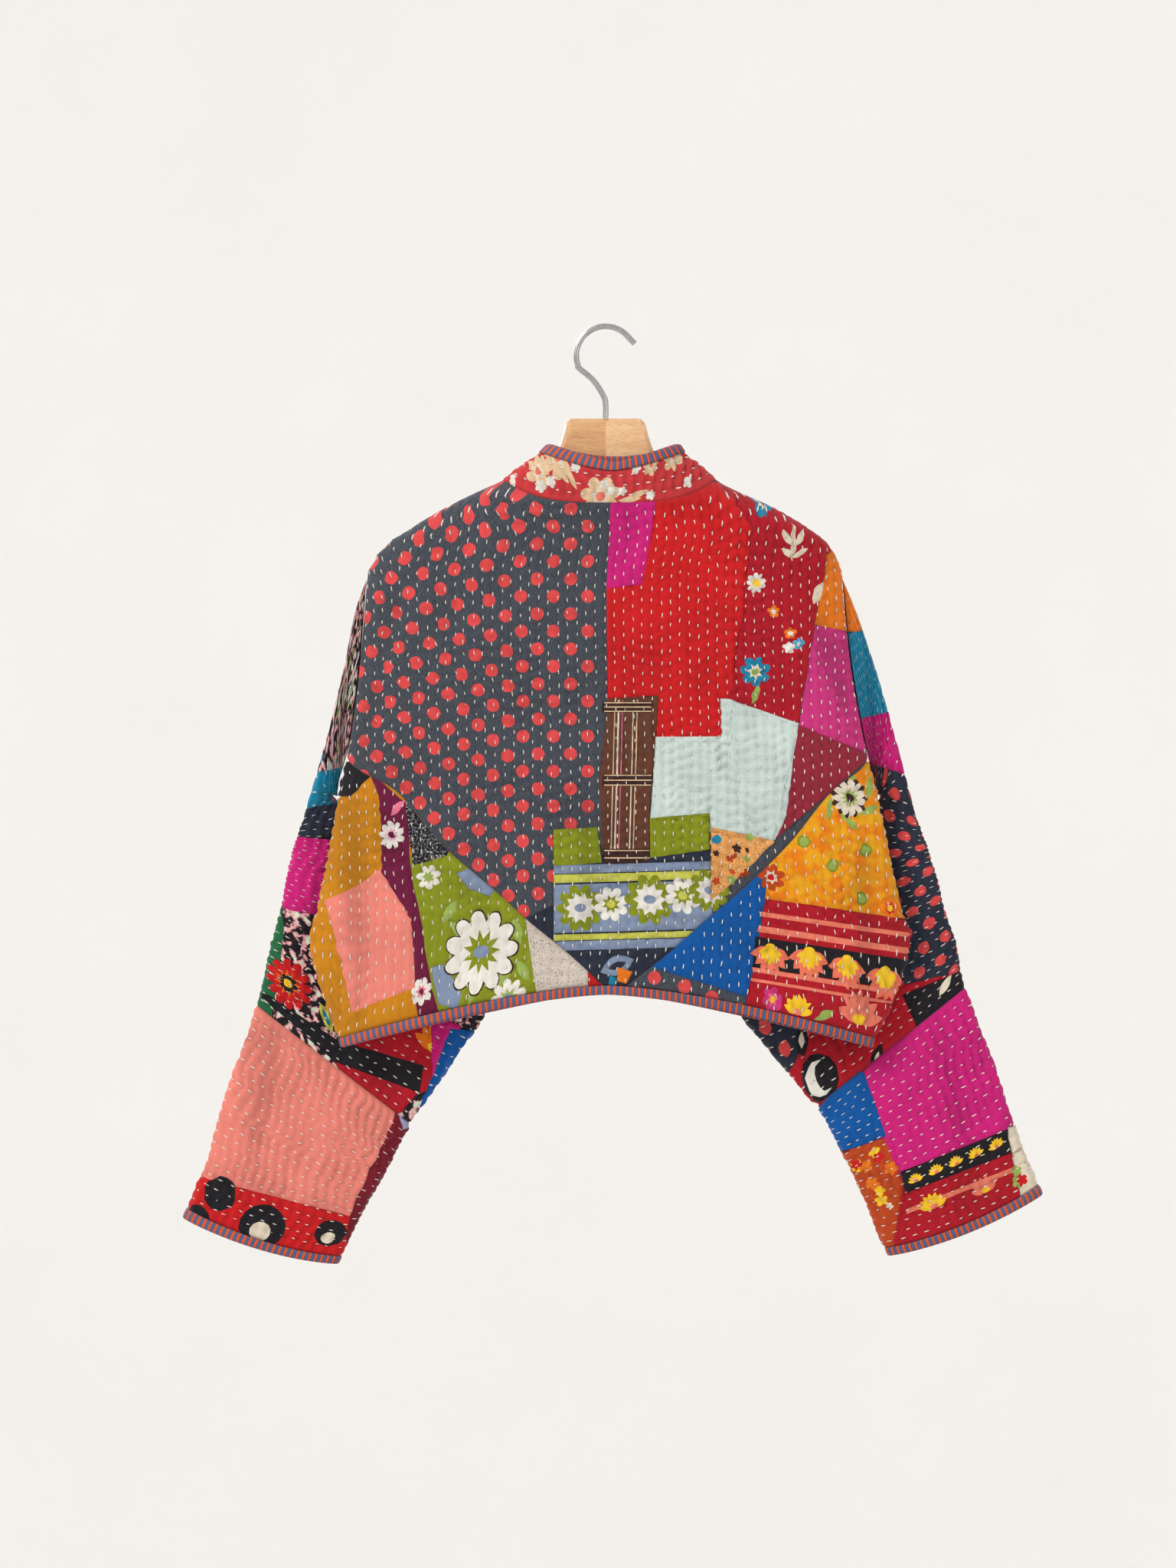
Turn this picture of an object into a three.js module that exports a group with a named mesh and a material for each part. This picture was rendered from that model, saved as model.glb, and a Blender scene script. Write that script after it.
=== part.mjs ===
// A cropped kantha jacket on a wooden hanger, seen from its back.
// Lengths are millimetres. +Z is up, the jacket's back faces -Y and its front faces +Y.
// The origin is the point under the crown of the hanger's hook, where a peg carries it.
import * as THREE from "three";

const CLOTH = 2.4; // several layers of old cotton, quilted together
const SEAM = 0.3; // clear width between two pieces at a seam
const SLANT = 0.44; // the same along a ring, where the seam slants across it
const BINDING = 8.3; // width of the striped binding on every edge
const BINDING_SWELL = 0.36; // how far a binding stands over the cloth, as a share of CLOTH
const QUILT_PITCH = 16; // two rows of running stitch to each raised channel
const QUILT_RISE = 0.6; // height of a channel over its stitched troughs
const COLLAR_TALL = 30; // cloth length of the collar under its binding, at the centre back
const COLLAR_PITCH = COLLAR_TALL / 2; // the collar's channels run along it
const SLEEVE_PITCH = 28; // the sleeves' channels run round the arm
const FRONT_PITCH = 24; // the fronts' channels, wider
const RIM_STEP = 8; // both faces of a wall have a point this often along a seamed rim
const ARMHOLE_SPREAD = 6; // cloth length from the side fold to each edge of the armhole
const FRONT_EDGE = 7; // the bound front edges stop this far from the centre line
const FRONT_BOW = 0.8; // the front's hem bows with this share of the back's exponent

const CLOTH_COLOURS = {
  back: 0x4a5661,
  gusset: 0xc9861a,
  front: 0xc8202c,
  sleeve: 0xb4256f,
  cuff: 0xe8786c,
  collar: 0xd8424a,
  binding: 0xa35a52,
};

// Level rings of the body and the collar, from the hem up. left and right are the side folds.
// centreBack, side and centreFront are heights; back and front are depths from the hanger's plane.
// square is the exponent of the ring's superellipse, and bow that of its edge's curve in height.
const RINGS = [
  { at: "hem", left: -228, right: 230, centreBack: -573, side: -619, centreFront: -571, back: 18, front: 11, square: 4, bow: 1.5 },
  { at: "bound", left: -230, right: 232, centreBack: -565, side: -611, centreFront: -563, back: 18, front: 11, square: 4, bow: 1.5 },
  { at: "skirt", left: -244, right: 250, centreBack: -536, side: -574, centreFront: -535, back: 19, front: 11, square: 4, bow: 1.6 },
  { at: "widest", left: -255, right: 263, centreBack: -506, side: -529, centreFront: -506, back: 19, front: 11, square: 4, bow: 1.8 },
  { at: "hip", left: -248, right: 255, centreBack: -481, side: -498, centreFront: -482, back: 20, front: 11, square: 4, bow: 1.9 },
  { at: "waist", left: -239, right: 243, centreBack: -441, side: -449, centreFront: -442, back: 21, front: 11, square: 4, bow: 2 },
  { at: "rib", left: -230, right: 233, centreBack: -397, side: -399, centreFront: -398, back: 22, front: 12, square: 4, bow: 2 },
  { at: "underarm", left: -224, right: 227, centreBack: -369, side: -370, centreFront: -370, back: 23, front: 14, square: 4.4, bow: 2 },
  { at: "chest", left: -216, right: 216, centreBack: -304, side: -304, centreFront: -314, back: 25, front: 20, square: 5, bow: 2 },
  { at: "arm", left: -210, right: 208, centreBack: -244, side: -244, centreFront: -268, back: 26, front: 25, square: 6, bow: 2 },
  { at: "tip", left: -206, right: 204, centreBack: -217, side: -215, centreFront: -250, back: 26, front: 26, square: 7, bow: 2 },
  { at: "ball", left: -200, right: 200, centreBack: -203, side: -200, centreFront: -241, back: 26, front: 26, square: 8, bow: 2 },
  { at: "slope 1", left: -186, right: 191, centreBack: -189, side: -184, centreFront: -234, back: 26, front: 26, square: 8, bow: 2 },
  { at: "slope 2", left: -169, right: 176, centreBack: -180, side: -172, centreFront: -229, back: 26, front: 26, square: 8, bow: 2 },
  { at: "slope 3", left: -150, right: 157, centreBack: -172, side: -160, centreFront: -224, back: 26, front: 26, square: 7, bow: 2.1 },
  { at: "slope 4", left: -130, right: 135, centreBack: -164, side: -149, centreFront: -219, back: 27, front: 27, square: 5.5, bow: 2.2 },
  { at: "slope 5", left: -110, right: 114, centreBack: -156, side: -139, centreFront: -213, back: 28, front: 29, square: 3.8, bow: 2.4 },
  { at: "neck", left: -90, right: 97, centreBack: -151, side: -130, centreFront: -206, back: 30, front: 31, square: 2.7, bow: 3.4 },
  { at: "collar", left: -72, right: 82, centreBack: -136, side: -117, centreFront: -190, back: 26, front: 27, square: 2.4, bow: 2.4 },
  { at: "collar top", left: -57, right: 68, centreBack: -123, side: -106, centreFront: -176, back: 20, front: 23, square: 2.3, bow: 1.5 },
  { at: "collar bound", left: -50, right: 63, centreBack: -115.5, side: -99, centreFront: -168, back: 17, front: 21, square: 2.3, bow: 1.2 },
];
const level = (name) => RINGS.findIndex((row) => row.at === name);
const RIB = level("rib");
const UNDERARM = level("underarm");
const TIP = level("tip");
const NECK = level("neck");
const COLLAR_TOP = level("collar top");
const COLLAR_BOUND = level("collar bound");

// Where the diagonal seams between the back and the side gussets cross each ring, as x.
const GUSSET_SEAM = [
  { left: 0, right: 19 },
  { left: -3, right: 18 },
  { left: -32, right: 52 },
  { left: -68, right: 86 },
  { left: -95, right: 115 },
  { left: -141, right: 157 },
  { left: -180, right: 195 },
];
const FRONT_SEAM_SHARE = 0.8; // the fronts' diagonal seams reach this share as far in as the back's

// Flat sections across the sleeves, from the armhole to the cuff's lower edge. Each is an oval
// between an outer and an inner edge point, with a depth and a thickness at each end.
const LEFT_SLEEVE = [
  { at: "arm", outerX: -216, outerZ: -244, innerX: -228, innerZ: -381, outerY: 4, innerY: 9, outerThick: 32, innerThick: 14, sag: 0 },
  { at: "arm 2", outerX: -227, outerZ: -297, innerX: -231, innerZ: -390, outerY: 10, innerY: 17, outerThick: 27, innerThick: 14, sag: 0 },
  { at: "arm 3", outerX: -242, outerZ: -356, innerX: -232, innerZ: -401, outerY: 15, innerY: 24, outerThick: 24, innerThick: 14, sag: 0 },
  { at: "arm 4", outerX: -261, outerZ: -422, innerX: -230, innerZ: -412, outerY: 18, innerY: 27, outerThick: 22, innerThick: 14, sag: 0 },
  { at: "arm 5", outerX: -271, outerZ: -458, innerX: -150, innerZ: -505, outerY: 19, innerY: 30, outerThick: 22, innerThick: 14, sag: 1 },
  { at: "elbow", outerX: -280, outerZ: -495, innerX: -104, innerZ: -577, outerY: 20, innerY: 31, outerThick: 22, innerThick: 15, sag: 2 },
  { at: "elbow 2", outerX: -291, outerZ: -539, innerX: -131, innerZ: -628, outerY: 20, innerY: 30, outerThick: 22, innerThick: 16, sag: 1 },
  { at: "seam", outerX: -302, outerZ: -583, innerX: -170, innerZ: -686, outerY: 19, innerY: 27, outerThick: 23, innerThick: 17, sag: 0 },
  { at: "forearm", outerX: -324, outerZ: -650, innerX: -192, innerZ: -726, outerY: 17, innerY: 23, outerThick: 25, innerThick: 19, sag: 3 },
  { at: "wrist", outerX: -344, outerZ: -716, innerX: -214, innerZ: -768, outerY: 16, innerY: 20, outerThick: 27, innerThick: 21, sag: 6 },
  { at: "cuff", outerX: -365, outerZ: -767, innerX: -232, innerZ: -807, outerY: 15, innerY: 18, outerThick: 29, innerThick: 23, sag: 7 },
];
const RIGHT_SLEEVE = [
  { at: "arm", outerX: 216, outerZ: -244, innerX: 231, innerZ: -381, outerY: 4, innerY: 9, outerThick: 32, innerThick: 14, sag: 0 },
  { at: "arm 2", outerX: 234, outerZ: -297, innerX: 235, innerZ: -390, outerY: 10, innerY: 17, outerThick: 27, innerThick: 14, sag: 0 },
  { at: "arm 3", outerX: 251, outerZ: -356, innerX: 237, innerZ: -401, outerY: 15, innerY: 24, outerThick: 24, innerThick: 14, sag: 0 },
  { at: "arm 4", outerX: 269, outerZ: -422, innerX: 236, innerZ: -412, outerY: 18, innerY: 27, outerThick: 22, innerThick: 14, sag: 0 },
  { at: "arm 5", outerX: 281, outerZ: -459, innerX: 158, innerZ: -503, outerY: 19, innerY: 30, outerThick: 22, innerThick: 14, sag: 1 },
  { at: "elbow", outerX: 292, outerZ: -495, innerX: 113, innerZ: -574, outerY: 20, innerY: 31, outerThick: 22, innerThick: 15, sag: 2 },
  { at: "elbow 2", outerX: 303, outerZ: -531, innerX: 140, innerZ: -620, outerY: 20, innerY: 30, outerThick: 22, innerThick: 16, sag: 1 },
  { at: "seam", outerX: 311, outerZ: -568, innerX: 184, innerZ: -670, outerY: 19, innerY: 27, outerThick: 23, innerThick: 17, sag: 0 },
  { at: "forearm", outerX: 331, outerZ: -624, innerX: 203, innerZ: -704, outerY: 17, innerY: 23, outerThick: 25, innerThick: 19, sag: 3 },
  { at: "wrist", outerX: 352, outerZ: -686, innerX: 224, innerZ: -750, outerY: 16, innerY: 20, outerThick: 27, innerThick: 21, sag: 6 },
  { at: "cuff", outerX: 377, outerZ: -747, innerX: 245, innerZ: -800, outerY: 15, innerY: 18, outerThick: 29, innerThick: 23, sag: 7 },
];
const SLEEVE_SQUARE = 4.5; // exponent of a sleeve section's superellipse
const SLEEVE_ROUND = 20; // stations round a sleeve

// The hanger: its top edge, thickness and height at distances from the middle.
const HANGER = [
  { out: 0, top: -77, half: 7, tall: 74 },
  { out: 30, top: -77, half: 7, tall: 72 },
  { out: 34, top: -81, half: 7, tall: 68 },
  { out: 37, top: -92, half: 7.2, tall: 59 },
  { out: 41, top: -104, half: 7.5, tall: 50 },
  { out: 46, top: -115, half: 8, tall: 42 },
  { out: 54, top: -123, half: 8.5, tall: 37 },
  { out: 66, top: -130, half: 9, tall: 35 },
  { out: 80, top: -137, half: 9, tall: 34 },
];
const HANGER_ARM = { from: 102, to: 186, half: 13, tall: 34, clear: 0.8, stations: 7 };
const HANGER_ROUND = 12; // points round the hanger's section
const HANGER_SQUARE = 0.8; // power that squares the hanger's section off a little
const HOOK = { wire: 5, radius: 25.3, stemTop: -40, stemEnd: -76.6, lead: 14, tail: 9 };
const NECK_LOOP = { left: -27, right: 44, top: -106, sag: 4.5, clear: -0.7, thick: 1.4 };

const clamp = THREE.MathUtils.clamp;
const lerp = THREE.MathUtils.lerp;

// A column of a table as a smooth curve through its rows.
function curve(rows, column, at) {
  const i = clamp(Math.floor(at), 0, rows.length - 2);
  const f = at - i;
  const b = rows[i][column];
  const c = rows[i + 1][column];
  const a = i > 0 ? rows[i - 1][column] : 2 * b - c;
  const d = i + 2 < rows.length ? rows[i + 2][column] : 2 * c - b;
  const rise = (c - a) * f;
  const bend = (2 * a - 5 * b + 4 * c - d) * f * f;
  const twist = (3 * b - a - 3 * c + d) * f * f * f;
  return b + 0.5 * (rise + bend + twist);
}

// One half of a ring as a polyline with its length from the centre back, kept for reuse.
const RING_STEPS = 120;
const rings = new Map();
function ring(at) {
  const key = at.toFixed(5);
  if (rings.has(key)) return rings.get(key);
  const value = Object.fromEntries(
    ["left", "right", "centreBack", "side", "centreFront", "back", "front", "square", "bow"].map(
      (column) => [column, curve(RINGS, column, at)],
    ),
  );
  const halfWidth = (value.right - value.left) / 2;
  const above = Math.min(at + 0.2, RINGS.length - 1);
  const below = above - 0.4;
  const wide = (level) => (curve(RINGS, "right", level) - curve(RINGS, "left", level)) / 2;
  const slope = (wide(above) - wide(below)) / (curve(RINGS, "side", above) - curve(RINGS, "side", below));
  const edgeCloth = CLOTH * Math.min(Math.hypot(1, slope), 2.2);
  const points = [];
  let length = 0;
  for (let k = 0; k <= 2 * RING_STEPS; k++) {
    const angle = (Math.PI * k) / (2 * RING_STEPS);
    const across = Math.sin(angle) ** (2 / value.square);
    const deep = Math.cos(angle);
    const depth = deep > 0 ? value.back : value.front;
    const point = {
      outerX: halfWidth * across,
      outerY: -depth * deep,
      innerX: (halfWidth - edgeCloth) * across,
      innerY: -(depth - CLOTH) * deep,
      onFront: deep < 0,
    };
    if (k > 0) {
      const last = points[k - 1];
      length += Math.hypot(point.outerX - last.outerX, point.outerY - last.outerY);
    }
    point.length = length;
    points.push(point);
  }
  const made = {
    ...value,
    halfWidth,
    edgeCloth,
    centre: (value.left + value.right) / 2,
    points,
    fold: points[RING_STEPS].length,
    whole: length,
  };
  rings.set(key, made);
  return made;
}

// Height of a ring at a share of its half width.
function edgeHeight(r, across, onFront) {
  const centre = onFront ? r.centreFront : r.centreBack;
  return centre + (r.side - centre) * across ** (onFront ? FRONT_BOW * r.bow : r.bow);
}

// A point of the body's cloth. along is the cloth's length from the centre back, positive to the
// left; deep is 0 on the outside of the wall and 1 on its inside.
function bodyPoint(along, at, deep) {
  const r = ring(at);
  const length = clamp(Math.abs(along), 0, r.whole - 1e-6);
  let low = 0;
  let high = r.points.length - 1;
  while (high - low > 1) {
    const middle = (low + high) >> 1;
    if (r.points[middle].length <= length) low = middle;
    else high = middle;
  }
  const a = r.points[low];
  const b = r.points[high];
  const f = (length - a.length) / (b.length - a.length);
  const outerX = lerp(a.outerX, b.outerX, f);
  const x = lerp(outerX, lerp(a.innerX, b.innerX, f), deep);
  const y = lerp(lerp(a.outerY, b.outerY, f), lerp(a.innerY, b.innerY, f), deep);
  const z = edgeHeight(r, outerX / r.halfWidth, length > r.fold);
  return new THREE.Vector3(r.centre - Math.sign(along || 1) * x, y, z);
}

// The cloth's length from the centre back to where the back crosses a given x.
function lengthToX(x, at) {
  const r = ring(at);
  const out = Math.min(Math.abs(x - r.centre), r.halfWidth);
  const i = Math.max(1, r.points.findIndex((point) => point.outerX >= out));
  const a = r.points[i - 1];
  const b = r.points[i];
  const f = clamp((out - a.outerX) / (b.outerX - a.outerX), 0, 1);
  return -Math.sign(x - r.centre) * lerp(a.length, b.length, f);
}

// Triangles, gathered by index, with the helpers that join rows of points.
class Shell {
  positions = [];
  index = [];

  add(point) {
    this.positions.push(point.x, point.y, point.z);
    return this.positions.length / 3 - 1;
  }

  triangle(a, b, c) {
    this.index.push(a, b, c);
  }

  // Joins two rows of { order, id }, each sorted by order.
  zip(lower, upper) {
    let i = 0;
    let j = 0;
    while (i < lower.length - 1 || j < upper.length - 1) {
      const stepLower =
        j === upper.length - 1 ||
        (i < lower.length - 1 && lower[i + 1].order <= upper[j + 1].order);
      if (stepLower) {
        this.triangle(lower[i].id, upper[j].id, lower[i + 1].id);
        i++;
      } else {
        this.triangle(lower[i].id, upper[j].id, upper[j + 1].id);
        j++;
      }
    }
  }

  geometry() {
    const p = this.positions;
    let volume = 0;
    for (let i = 0; i < this.index.length; i += 3) {
      const [a, b, c] = this.index.slice(i, i + 3).map((k) => new THREE.Vector3(...p.slice(3 * k, 3 * k + 3)));
      volume += a.dot(b.cross(c));
    }
    if (volume < 0) {
      for (let i = 0; i < this.index.length; i += 3) {
        [this.index[i + 1], this.index[i + 2]] = [this.index[i + 2], this.index[i + 1]];
      }
    }
    const geometry = new THREE.BufferGeometry();
    geometry.setAttribute("position", new THREE.Float32BufferAttribute(p, 3));
    geometry.setIndex(this.index);
    geometry.computeVertexNormals();
    return geometry;
  }
}

const EDGE_FADE = 7; // the channels flatten out this close to a seam
const SLIVER = 0.3; // a column this share of a step from an edge is left out
const BENDS = [4, 9, 16, 26]; // extra columns inside a fold, by their distances from it
const SLEEVE_BENDS = [24, 50, 76, 98, 116, 132, 148, 166, 190]; // the same inside a sleeve, from its armhole

// Whole steps from an offset, between two edges, with the edges themselves.
function columns(start, end, step, offset = 0) {
  const us = [start];
  for (let k = Math.ceil((start - offset) / step); offset + k * step < end; k++) {
    const u = offset + k * step;
    if (Math.min(u - start, end - u) > SLIVER * step) us.push(u);
  }
  return [...us, end];
}

// A wall's inside has the same columns in each row, and more of them by a fold at either edge.
function insideColumns(start, end, { count, startFold, endFold, folds = BENDS }) {
  const scale = Math.min(1, (end - start) / (3 * BENDS.at(-1)));
  const bends = folds.map((bend) => bend * scale);
  const before = startFold ? [0, ...bends].map((bend) => start + bend) : [start];
  const after = endFold ? [...bends.toReversed(), 0].map((bend) => end - bend) : [end];
  return [...before, ...steps(before.at(-1), after[0], count).slice(1, -1), ...after];
}

// A quilted wall. place(u, row, deep) gives its points, from(row) and to(row) its two edges in
// u, and channels run where u is constant. The inside is plain, on fewer columns. The first and
// last rows of an open wall are seamed rims, with columns that meet the neighbour's.
function quiltedWall(wall) {
  const { rows, closed, from, to, place, pitch, inner, rimOffset = () => 0 } = wall;
  const face = (spread, deepAt, orderOf) =>
    rows.map((row, i) => {
      const [start, end] = [from(row), to(row)];
      const rim = !closed && (i === 0 || i === rows.length - 1);
      const us = rim ? columns(start, end, RIM_STEP, rimOffset(row)) : spread(start, end);
      return us.map((u) => ({
        order: orderOf(u, start, end),
        id: shell.add(place(u, row, deepAt(u, start, end, rim))),
      }));
    });
  const shell = new Shell();
  const rise = (u, start, end, rim) => {
    const clear = rim ? 0 : clamp(Math.min(u - start, end - u) / EDGE_FADE, 0, 1);
    return -(QUILT_RISE / CLOTH) * clear * Math.abs(Math.sin((Math.PI * u) / pitch));
  };
  const share = (u, start, end) => (u - start) / (end - start);
  const plain = (start, end) => insideColumns(start, end, inner);
  const outside = face((start, end) => columns(start, end, pitch / 2), rise, (u) => u);
  const inside = face(plain, () => 1, share);
  const edge = (first, second) => [{ order: 0, id: first.id }, { order: 1, id: second.id }];
  const byShare = (row) => row.map(({ id }, i) => ({ order: i / (row.length - 1), id }));
  const pairs = rows.length - (closed ? 0 : 1);
  for (let i = 0; i < pairs; i++) {
    const next = (i + 1) % rows.length;
    shell.zip(outside[i], outside[next]);
    shell.zip(inside[next], inside[i]);
    shell.zip(edge(inside[i][0], outside[i][0]), edge(inside[next][0], outside[next][0]));
    shell.zip(
      edge(outside[i].at(-1), inside[i].at(-1)),
      edge(outside[next].at(-1), inside[next].at(-1)),
    );
  }
  if (!closed) {
    shell.zip(byShare(inside[0]), byShare(outside[0]));
    shell.zip(byShare(outside.at(-1)), byShare(inside.at(-1)));
  }
  return shell.geometry();
}

// A solid through loops of the same number of points, closed on itself or capped.
function loft(loops, closed) {
  const shell = new Shell();
  const ids = loops.map((loop) => loop.map((point) => shell.add(point)));
  const count = loops[0].length;
  const pairs = loops.length - (closed ? 0 : 1);
  for (let i = 0; i < pairs; i++) {
    const next = (i + 1) % loops.length;
    for (let k = 0; k < count; k++) {
      const after = (k + 1) % count;
      shell.triangle(ids[i][k], ids[next][k], ids[i][after]);
      shell.triangle(ids[i][after], ids[next][k], ids[next][after]);
    }
  }
  if (!closed) {
    for (let k = 1; k < count - 1; k++) {
      shell.triangle(ids[0][0], ids[0][k], ids[0][k + 1]);
      shell.triangle(ids.at(-1)[0], ids.at(-1)[k + 1], ids.at(-1)[k]);
    }
  }
  return shell.geometry();
}

// A binding's section, folded over an edge: share runs from the edge (0) to the seam (1).
const BINDING_SECTION = [
  { share: 1, deep: -BINDING_SWELL * 0.6 },
  { share: 0.35, deep: -BINDING_SWELL },
  { share: 0, deep: 0.5 },
  { share: 0.35, deep: 1 + BINDING_SWELL },
  { share: 1, deep: 1 + BINDING_SWELL * 0.6 },
];

function steps(from, to, count) {
  return Array.from({ length: count + 1 }, (_, i) => lerp(from, to, i / count));
}

// Half a seam's clear width, in rings, where two pieces meet along a ring.
function ringGap(at) {
  const STEP = 0.05;
  const rise = curve(RINGS, "centreBack", at + STEP) - curve(RINGS, "centreBack", at - STEP);
  return ((SEAM / 2) * (2 * STEP)) / Math.abs(rise);
}

// The armhole's half width in cloth length, closing at the shoulder's tip and at the underarm.
function armholeSpread(at) {
  const share = clamp((at - UNDERARM) / (TIP - UNDERARM), 0, 1);
  return SEAM / 2 + ARMHOLE_SPREAD * Math.sqrt(Math.sin(Math.PI * share));
}

// Half the clear width along a ring at a panel's side edge.
function seamHalf(at) {
  return (at < UNDERARM ? SLANT : SEAM) / 2;
}

// Where a panel's side edge crosses a ring: at the side fold, the armhole or the gusset's seam.
function sideEdge(side, at, onFront) {
  const r = ring(at);
  const sign = side === "left" ? 1 : -1;
  if (at >= TIP) return sign * (onFront ? r.fold + SEAM / 2 : r.fold - SEAM / 2);
  if (at >= UNDERARM) {
    const spread = armholeSpread(at);
    return sign * (onFront ? r.fold + spread : r.fold - spread);
  }
  const seam = lengthToX(seamX(side, at), at);
  const reach = r.fold - Math.abs(seam) * Math.sign(seam * sign || 1);
  return onFront ? sign * (r.fold + reach * FRONT_SEAM_SHARE) : seam;
}

function seamX(side, at) {
  const last = GUSSET_SEAM.length - 1;
  if (at <= last) return curve(GUSSET_SEAM, side, at);
  return lerp(GUSSET_SEAM[last][side], curve(RINGS, side, at), at - last);
}

// Rows of the body's panels. Those beside the armhole are the sleeve's own stations there.
const skirtLevels = [...steps(1 + ringGap(1), RIB, 6), RIB + 0.4, RIB + 0.75, UNDERARM - 0.06];
const armholeLevels = steps(0, SLEEVE_ROUND / 2, SLEEVE_ROUND / 2).map((k) =>
  lerp(UNDERARM, TIP, (1 - flatTurn(k / SLEEVE_ROUND)) / 2),
);
const shoulderLevels = steps(TIP, NECK - ringGap(NECK), 13).slice(1);
const bodyLevels = [...skirtLevels, ...armholeLevels, ...shoulderLevels];

function backPanel() {
  return quiltedWall({
    rows: bodyLevels,
    from: (at) => sideEdge("right", at, false) + seamHalf(at),
    to: (at) => sideEdge("left", at, false) - seamHalf(at),
    place: bodyPoint,
    pitch: QUILT_PITCH,
    inner: { count: 8, startFold: true, endFold: true },
  });
}

// A gusset's u is the cloth's length from the side fold, positive towards the front.
function gusset(side) {
  const sign = side === "left" ? 1 : -1;
  const fromFold = (along, at) => sign * along - ring(at).fold;
  return quiltedWall({
    rows: skirtLevels,
    from: (at) => fromFold(sideEdge(side, at, false), at) + seamHalf(at),
    to: (at) => fromFold(sideEdge(side, at, true), at) - seamHalf(at),
    place: (u, at, deep) => bodyPoint(sign * (ring(at).fold + u), at, deep),
    pitch: QUILT_PITCH,
    inner: { count: 9 },
  });
}

// A front's u is the cloth's length from the centre front.
function frontPanel(side) {
  const sign = side === "left" ? 1 : -1;
  return quiltedWall({
    rows: bodyLevels,
    from: () => FRONT_EDGE + BINDING + SEAM,
    to: (at) => ring(at).whole - Math.abs(sideEdge(side, at, true)) - seamHalf(at),
    place: (u, at, deep) => bodyPoint(sign * (ring(at).whole - u), at, deep),
    pitch: FRONT_PITCH,
    inner: { count: 3, endFold: true },
    rimOffset: (at) => ring(at).whole,
  });
}

// A point round the armhole, with turn running from the shoulder's tip down the back to the
// underarm at half a turn, and up the front. Its wall narrows the opening, as the sleeve's does.
function armholePoint(side, turn, deep) {
  const sign = side === "left" ? 1 : -1;
  const halfTall = (curve(RINGS, "side", TIP) - curve(RINGS, "side", UNDERARM)) / 2;
  const edges = (along) => {
    const at = lerp(TIP, UNDERARM, (1 - along) / 2);
    return [-1, 1].map((facing) => bodyPoint(sign * (ring(at).fold + facing * armholeSpread(at)), at, 0));
  };
  const [back, front] = edges(flatTurn(turn));
  const [backIn, frontIn] = edges(flatTurn(turn) * (1 - (deep * CLOTH) / halfTall));
  const half = ((front.y - back.y) / 2) * (1 - (deep * CLOTH) / ARMHOLE_SPREAD);
  const onBack = turn <= 0.5;
  const { x, z } = onBack ? backIn : frontIn;
  const y = (backIn.y + frontIn.y) / 2 + (onBack ? -half : half);
  return new THREE.Vector3(x - sign * SEAM, y, z);
}

// How far along its section a turn lies: 1 at the outer edge, -1 at the inner.
function flatTurn(turn) {
  return Math.cos(2 * Math.PI * turn);
}

// A point on one of a sleeve's flat sections.
function sectionPoint(row, turn, deep) {
  const halfLength = Math.hypot(row.outerX - row.innerX, row.outerZ - row.innerZ) / 2;
  const along = flatTurn(turn) * (1 - (deep * CLOTH) / halfLength);
  const share = (1 - along) / 2;
  const halfThick = lerp(row.outerThick, row.innerThick, share) / 2 - deep * CLOTH;
  const full = (1 - Math.abs(flatTurn(turn)) ** SLEEVE_SQUARE) ** (1 / SLEEVE_SQUARE);
  const sign = turn % 0.5 < 1e-9 ? 0 : turn < 0.5 ? 1 : -1;
  return new THREE.Vector3(
    lerp(row.outerX, row.innerX, share),
    lerp(row.outerY, row.innerY, share) - sign * halfThick * full,
    lerp(row.outerZ, row.innerZ, share) - row.sag * (1 - along * along),
  );
}

// A sleeve as a surface: reach is the cloth's length from the armhole, measured along the middle.
function sleeveSurface(side) {
  const rows = side === "left" ? LEFT_SLEEVE : RIGHT_SLEEVE;
  const middle = (k) =>
    k === 0
      ? armholePoint(side, 0.25, 0)
      : sectionPoint(rows[k - 1], 0.25, 0);
  const reaches = [0];
  for (let k = 1; k <= rows.length; k++) {
    reaches.push(reaches[k - 1] + middle(k).distanceTo(middle(k - 1)));
  }
  const point = (k, turn, deep) =>
    k <= 0 ? armholePoint(side, turn, deep) : sectionPoint(rows[Math.min(k, rows.length) - 1], turn, deep);
  const place = (reach, turn, deep) => {
    const k = clamp(reaches.findIndex((r) => r > reach) - 1, 0, rows.length - 1);
    const i = reach >= reaches.at(-1) ? rows.length - 1 : k;
    const f = (reach - reaches[i]) / (reaches[i + 1] - reaches[i]);
    const b = point(i, turn, deep);
    const c = point(i + 1, turn, deep);
    const a = i > 0 ? point(i - 1, turn, deep) : b.clone().multiplyScalar(2).sub(c);
    const d = i + 1 < rows.length ? point(i + 2, turn, deep) : c.clone().multiplyScalar(2).sub(b);
    const table = [a, b, c, d];
    return new THREE.Vector3(...["x", "y", "z"].map((axis) => curve(table, axis, 1 + f)));
  };
  const seam = reaches[rows.findIndex((row) => row.at === "seam") + 1];
  return { place, seam, end: reaches.at(-1) };
}

const turns = steps(0, 1, SLEEVE_ROUND).slice(0, SLEEVE_ROUND);

function sleevePiece(side, part) {
  const surface = sleeveSurface(side);
  const [from, to] =
    part === "upper"
      ? [0, surface.seam - SEAM / 2]
      : [surface.seam + SEAM / 2, surface.end - BINDING - SEAM];
  return quiltedWall({
    rows: turns,
    closed: true,
    from: () => from,
    to: () => to,
    place: surface.place,
    pitch: SLEEVE_PITCH,
    inner: part === "upper" ? { count: 4, startFold: true, folds: SLEEVE_BENDS } : { count: 3 },
  });
}

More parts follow.
